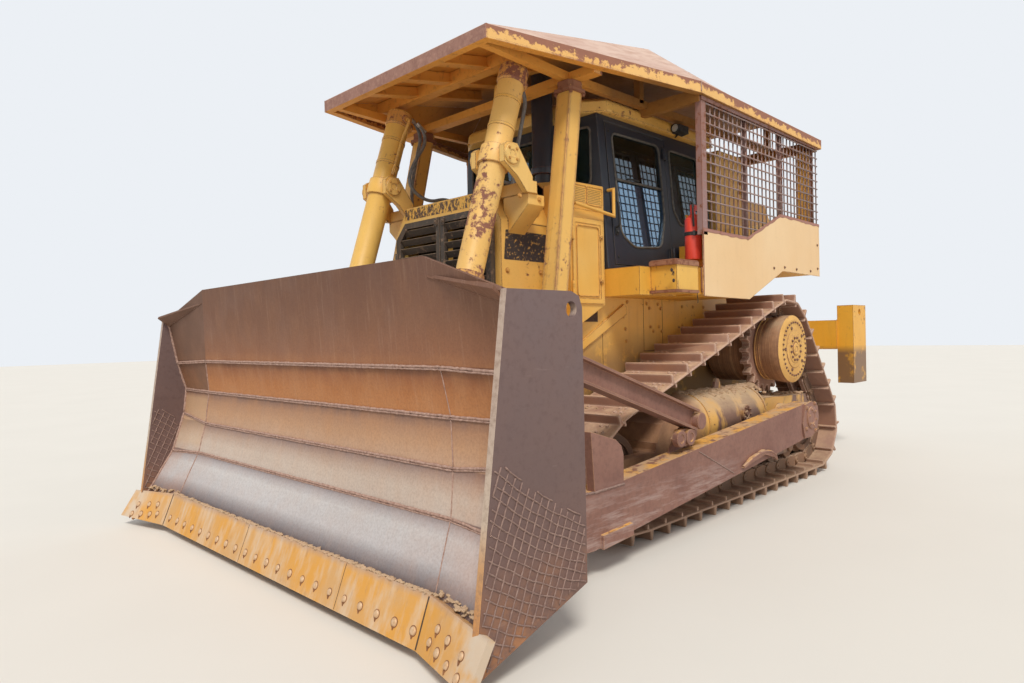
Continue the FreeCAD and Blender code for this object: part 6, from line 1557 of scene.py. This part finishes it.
def fender_details():
    """Rusted strips along the side panels, their bolts, and the step pockets' rims."""
    strip = Shape()
    for (ax, az), (bx, bz) in zip(PANEL_TOP, PANEL_TOP[1:]):
        pieces = steps_along(((ax, 0, az), (bx, 0, bz)), 0.05)
        low = [(p.x, p.z - RNG.uniform(0.020, 0.032)) for p in pieces]
        high = [(p.x, p.z + 0.002) for p in pieces]
        strip.slab("y", PANEL_Y, 0.0022, low + high[::-1])
    strip.slab("y", PANEL_Y, 0.0020, [(1.7425, 1.85), (1.7425, 2.41), (1.728, 2.41), (1.733, 1.85)])
    strip.mirror().make("panel_strips", "tractor", "pink_rust")
    bolts = Shape()
    bolts.bolts(standing("y", 1.450, ((-0.10, 2.165), (0.18, 2.170), (0.42, 2.150), (-0.45, 2.165), (-0.64, 2.20),
                                      (-0.64, 2.45))), LEFT, 0.010, 0.010)
    bolts.mirror().make("panel_bolts", "tractor", "bolt")
    rim = Shape()
    rim.loop(standing("z", 2.131, rounded_corners(rectangle(1.812, 1.197, 2.143, 1.438), 0.02, 3)), 0.007, 6)
    for low, tall in ((2.090, 0.038), (1.871, 0.024)):
        rim.slab("z", low, tall, [(2.139, 1.199), (2.164, 1.199), (2.164, 1.440), (2.155, 1.449), (1.815, 1.449),
                                  (1.815, 1.436), (2.139, 1.436)])
    rim.weld((1.76, 1.441, 2.088), (1.76, 1.441, 1.88), 0.006)
    rim.mirror().make("step_rims", "tractor", "rust_cast")
    wire = Shape()
    wire.tube(smooth_line([(1.83, 1.438, 1.875), (1.832, 1.440, 1.84), (1.822, 1.440, 1.81), (1.828, 1.438, 1.79)]),
              0.003, 6)
    wire.tube(smooth_line([(2.18, 1.436, 2.00), (2.185, 1.444, 2.03), (2.20, 1.444, 2.03), (2.205, 1.436, 2.00)]),
              0.004, 6)
    wire.bolts([(2.19, 1.440, 1.96), (2.215, 1.440, 2.04)], LEFT, 0.011, 0.010)
    wire.make("step_wire", "tractor", "dark_steel_and_hole_shade")


def panel_top(x):
    """The height of the side panel's top edge."""
    for (bx, bz), (ax, az) in zip(PANEL_TOP, PANEL_TOP[1:]):
        if x >= ax:
            return az + (bz - az) * (x - ax) / (bx - ax)
    return PANEL_TOP[-1][1]


def mesh_details():
    """Welded rod mesh on angle posts, in front of the side openings."""
    rods = Shape()
    for k in range(30):
        x = 1.640 - 0.080 * k
        rods.tube([(x, 1.430, panel_top(x) - 0.03), (x, 1.430, 3.490)], 0.007)
    for k in range(14):
        z = 3.456 - 0.081 * k
        open_at = [x for x in (1.72 - 0.025 * step for step in range(97)) if z > panel_top(x) - 0.004]
        start = open_at[0]
        for a, b in zip(open_at, open_at[1:] + open_at[-1:]):
            if a - b > 0.03 or a == b:
                rods.tube([(start, 1.444, z), (a, 1.444, z)], 0.007)
                start = b
    made = rods.mirror().make("mesh_rods", "tractor", "mesh_rust", True)
    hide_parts("mesh_guards")
    posts = Shape()
    posts.slab("z", 2.36, 1.14, [(1.735, 1.398), (1.743, 1.398), (1.743, 1.450), (1.665, 1.450), (1.665, 1.442),
                                 (1.735, 1.442)])
    for x, wide in ((0.852, 0.030), (0.110, 0.030), (-0.655, 0.035)):
        posts.slab("z", 2.38, 1.12, [(x - wide, 1.362), (x + wide, 1.362), (x + wide, 1.422), (x + wide - 0.008, 1.422),
                                     (x + wide - 0.008, 1.370), (x - wide, 1.370)])
    posts.box((-0.70, 1.398, 3.494), (1.743, 1.450, 3.502))
    posts.box((-0.70, 1.452, 3.468), (1.743, 1.458, 3.502))
    posts.mirror().make("mesh_posts", "tractor", "post_rust")


def rollover_frame():
    """Legs and cross beam of the rollover frame, between the cab and the tank's top."""
    shape = Shape()
    for side in (-1, 1):
        shape.slab("y", side * 0.78, side * 0.12, [(-0.10, 2.950), (0.50, 2.950), (0.50, 3.30), (0.44, 3.385),
                                                   (-0.02, 3.385), (-0.10, 3.30)])
        shape.bolts([(x, side * 0.90, z) for x in (-0.02, 0.42) for z in (3.02, 3.12)], (0, side, 0), 0.022, 0.020)
    shape.slab("y", -0.78, 1.56, [(0.02, 3.20), (0.40, 3.20), (0.44, 3.385), (-0.02, 3.385)])
    shape.make("rollover_frame", "tractor", "body_paint")


def extinguisher_details():
    """Strap, nozzle hose and lever on the fire extinguisher, and the channel behind it."""
    x, y = 1.640, 1.300
    strap = Shape()
    strap.turned((x, y, 2.385), UP, [(-0.016, 0.0705), (-0.014, 0.0735), (0.014, 0.0735), (0.016, 0.0705)], 30)
    strap.slab("z", 2.365, 0.04, [(x + 0.060, y + 0.035), (x + 0.085, y + 0.045), (x + 0.075, y + 0.062),
                                  (x + 0.050, y + 0.052)])
    strap.tube(smooth_line([(x + 0.02, y + 0.02, 2.618), (x + 0.09, y + 0.05, 2.64), (x + 0.088, y + 0.052, 2.54),
                            (x + 0.068, y + 0.046, 2.44)]), 0.009)
    strap.tube([(x - 0.01, y, 2.63), (x + 0.05, y + 0.015, 2.65), (x + 0.085, y + 0.025, 2.645)], 0.007)
    strap.make("extinguisher_fittings", "tractor", "lamp_black")
    channel = Shape()
    channel.slab("z", 2.086, 0.48, [(1.552, 1.205), (1.600, 1.205), (1.600, 1.213), (1.560, 1.213), (1.560, 1.372),
                                    (1.600, 1.372), (1.600, 1.380), (1.552, 1.380)])
    channel.box((1.552, 1.24, 2.086), (1.705, 1.38, 2.098))
    channel.bolts([(1.560, 1.29, z) for z in (2.20, 2.50)], AHEAD, 0.010, 0.010)
    made = channel.make("extinguisher_channel", "tractor", "fender_paint")
    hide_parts("extinguisher_bracket")


# Rear

POCKET_SIDE_Y = 0.957


def rear_details():
    """Filler cap and weld beads on the tank, and weld beads on the ripper."""
    cap = Shape()
    cap.turned((-0.20, 0.45, 2.948), UP, [(0, 0.075), (0.012, 0.075), (0.016, 0.060), (0.045, 0.058), (0.052, 0.050),
                                          (0.052, 0.02)], 28)
    cap.box((-0.26, 0.435, 2.998), (-0.14, 0.465, 3.010))
    cap.make("tank_cap", "tractor", "body_paint")
    seams = Shape()
    for a, b in (((-0.715, 0.899, 2.945), (0.475, 0.899, 2.945)), ((-0.715, -0.899, 2.945), (0.475, -0.899, 2.945)),
                 ((-0.722, -0.895, 2.945), (-0.722, 0.895, 2.945)), ((-0.722, -0.6, 2.40), (-0.722, 0.6, 2.40))):
        seams.weld(a, b, 0.006, 0.025)
    seams.make("tank_seams", "tractor", "body_paint", True)
    beads = Shape()
    for side in (-1, 1):
        y = side * POCKET_SIDE_Y
        for a, b in (((-2.54, y, 1.30), (-2.54, y, 1.66)), ((-2.935, y, 1.30), (-2.935, y, 1.66)),
                     ((-2.93, y, 1.672), (-2.54, y, 1.672))):
            beads.weld(a, b, 0.009)
    beads.make("ripper_welds", "ripper_beam", "bead", True)


# Seat

def cushion(name, low, high, crown, channels):
    """A padded block: swollen faces, pulled-in sides and sewn channels across; its face is up or ahead."""
    low, high = Vector(low), Vector(high)
    middle = (low + high) / 2
    half = (high - low) / 2
    thin = min(range(3), key=lambda i: half[i])
    long, wide = (i for i in range(3) if i != thin)
    round_from = 0.70
    work = bmesh.new()
    bmesh.ops.create_cube(work, size=2.0)
    bmesh.ops.subdivide_edges(work, edges=work.edges[:], cuts=26, use_grid_fill=True)
    for v in work.verts:
        u, w, t = v.co[long], v.co[wide], v.co[thin]
        rest = Vector((max(abs(u) - round_from, 0), max(abs(w) - round_from, 0))) / (1 - round_from)
        if rest.length > 1e-6:
            rest *= max(rest) / rest.length * (1 - round_from)
            u = math.copysign(min(abs(u), round_from) + rest.x, u)
            w = math.copysign(min(abs(w), round_from) + rest.y, w)
        swell = (1 - u ** 4) * (1 - w ** 4)
        edge = max(abs(u), abs(w))
        thick = 1.0 - 0.55 * max(0.0, (edge - 0.72) / 0.28) ** 2
        groove = sum(math.exp(-((w - c) / 0.035) ** 2) for c in channels) * (1 - 0.6 * abs(u) ** 6)
        pull = 1 - 0.0525 * (1 - (w if edge == abs(u) else u) ** 2) * (1 - abs(t))
        rise = t * thick * 0.9
        if t > 0:
            rise = t * thick * 0.82 + t * (crown * swell - 0.16 * groove)
        v.co[long] = middle[long] + u * half[long] * 0.97 * pull
        v.co[wide] = middle[wide] + w * half[wide] * 0.97 * pull
        v.co[thin] = middle[thin] + rise * half[thin]
    work.verts.index_update()
    shape = Shape()
    shape.add([v.co for v in work.verts], [[v.index for v in f.verts] for f in work.faces])
    work.free()
    made = shape.make(name, "tractor", "seat_fabric", True)
    return made


def seat():
    """Operator's seat: sewn cushion and backrest on a sprung base, with consoles and levers each side."""
    bottom = cushion("seat_cushion", (1.115, -0.245, 2.430), (1.605, 0.245, 2.560), 0.20, (-0.45, 0.0, 0.45))
    cushion("seat_backrest", (0.988, -0.235, 2.560), (1.092, 0.235, 3.070), 0.18, (-0.5, -0.1, 0.3))
    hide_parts("operator_seat")
    cords = Shape()
    for axis, at, corners in (("z", 2.528, (1.128, -0.235, 1.594, 0.235)), ("x", 1.070, (-0.226, 2.572, 0.226, 3.058))):
        cords.loop(standing(axis, at, rounded_corners(rectangle(*corners), 0.06, 6)), 0.006)
    cords.make("seat_piping", "tractor", "seat_trim", True)
    base = Shape()
    base.box((1.13, -0.225, 2.385), (1.59, 0.225, 2.430), 0.03)
    for k in range(5):
        fold = 0.006 * (k % 2)
        base.box((1.19 + fold, -0.17 + fold, 2.20 + 0.037 * k), (1.53 - fold, 0.17 - fold, 2.235 + 0.037 * k), 0.04)
    base.box((1.15, -0.19, 2.115), (1.55, 0.19, 2.20), 0.03)
    base.slab("y", -0.20, 0.40, [(0.985, 2.40), (1.125, 2.40), (1.02, 2.60), (1.00, 3.02), (0.985, 3.02)])
    knobs = Shape()
    for side in (-1, 1):
        y = side * 0.385
        base.slab("y", side * 0.31, side * 0.16, [(1.15, 2.115), (1.85, 2.115), (1.85, 2.60), (1.80, 2.665),
                                                  (1.35, 2.665), (1.15, 2.58)])
        base.turned((1.74, y, 2.655), (0.08, 0, 1), [(0, 0.035), (0.012, 0.035), (0.03, 0.020), (0.04, 0.010)])
        knobs.tube([(1.74, y, 2.66), (1.752, y, 2.685)], 0.009)
        knobs.turned((1.755, y, 2.668), (0.08, 0, 1), [(0, 0.012), (0.010, 0.020), (0.024, 0.020), (0.031, 0.010)], 14)
        for k in range(3):
            knobs.turned((1.50 + 0.07 * k, y, 2.662), UP, [(0, 0.012), (0.018, 0.012), (0.022, 0.008)], 10)
    base.make("seat_base_and_consoles", "tractor", "console")
    knobs.make("control_knobs", "tractor", "lamp_black", True)
    for word, side in SIDES:
        cushion("arm_pad_" + word, (1.18, side * 0.39 - 0.05, 2.650), (1.44, side * 0.39 + 0.05, 2.698), 0.12, ())


for build in (blade_welds, hard_facing, corner_gussets, edge_bolts, edge_soil, arm_details, chain_details, frame_soil,
              frame_details, drive_details, guard_details, grille_details, yoke_details, barrel_details,
              canopy_roof, canopy_details, cab_details, door_details, side_box_details, skirt_details, fender_details,
              mesh_details, rollover_frame, extinguisher_details, rear_details, seat):
    build()

bpy.context.scene.view_settings.view_transform = "Standard"
make_camera()
make_light()
make_floor()
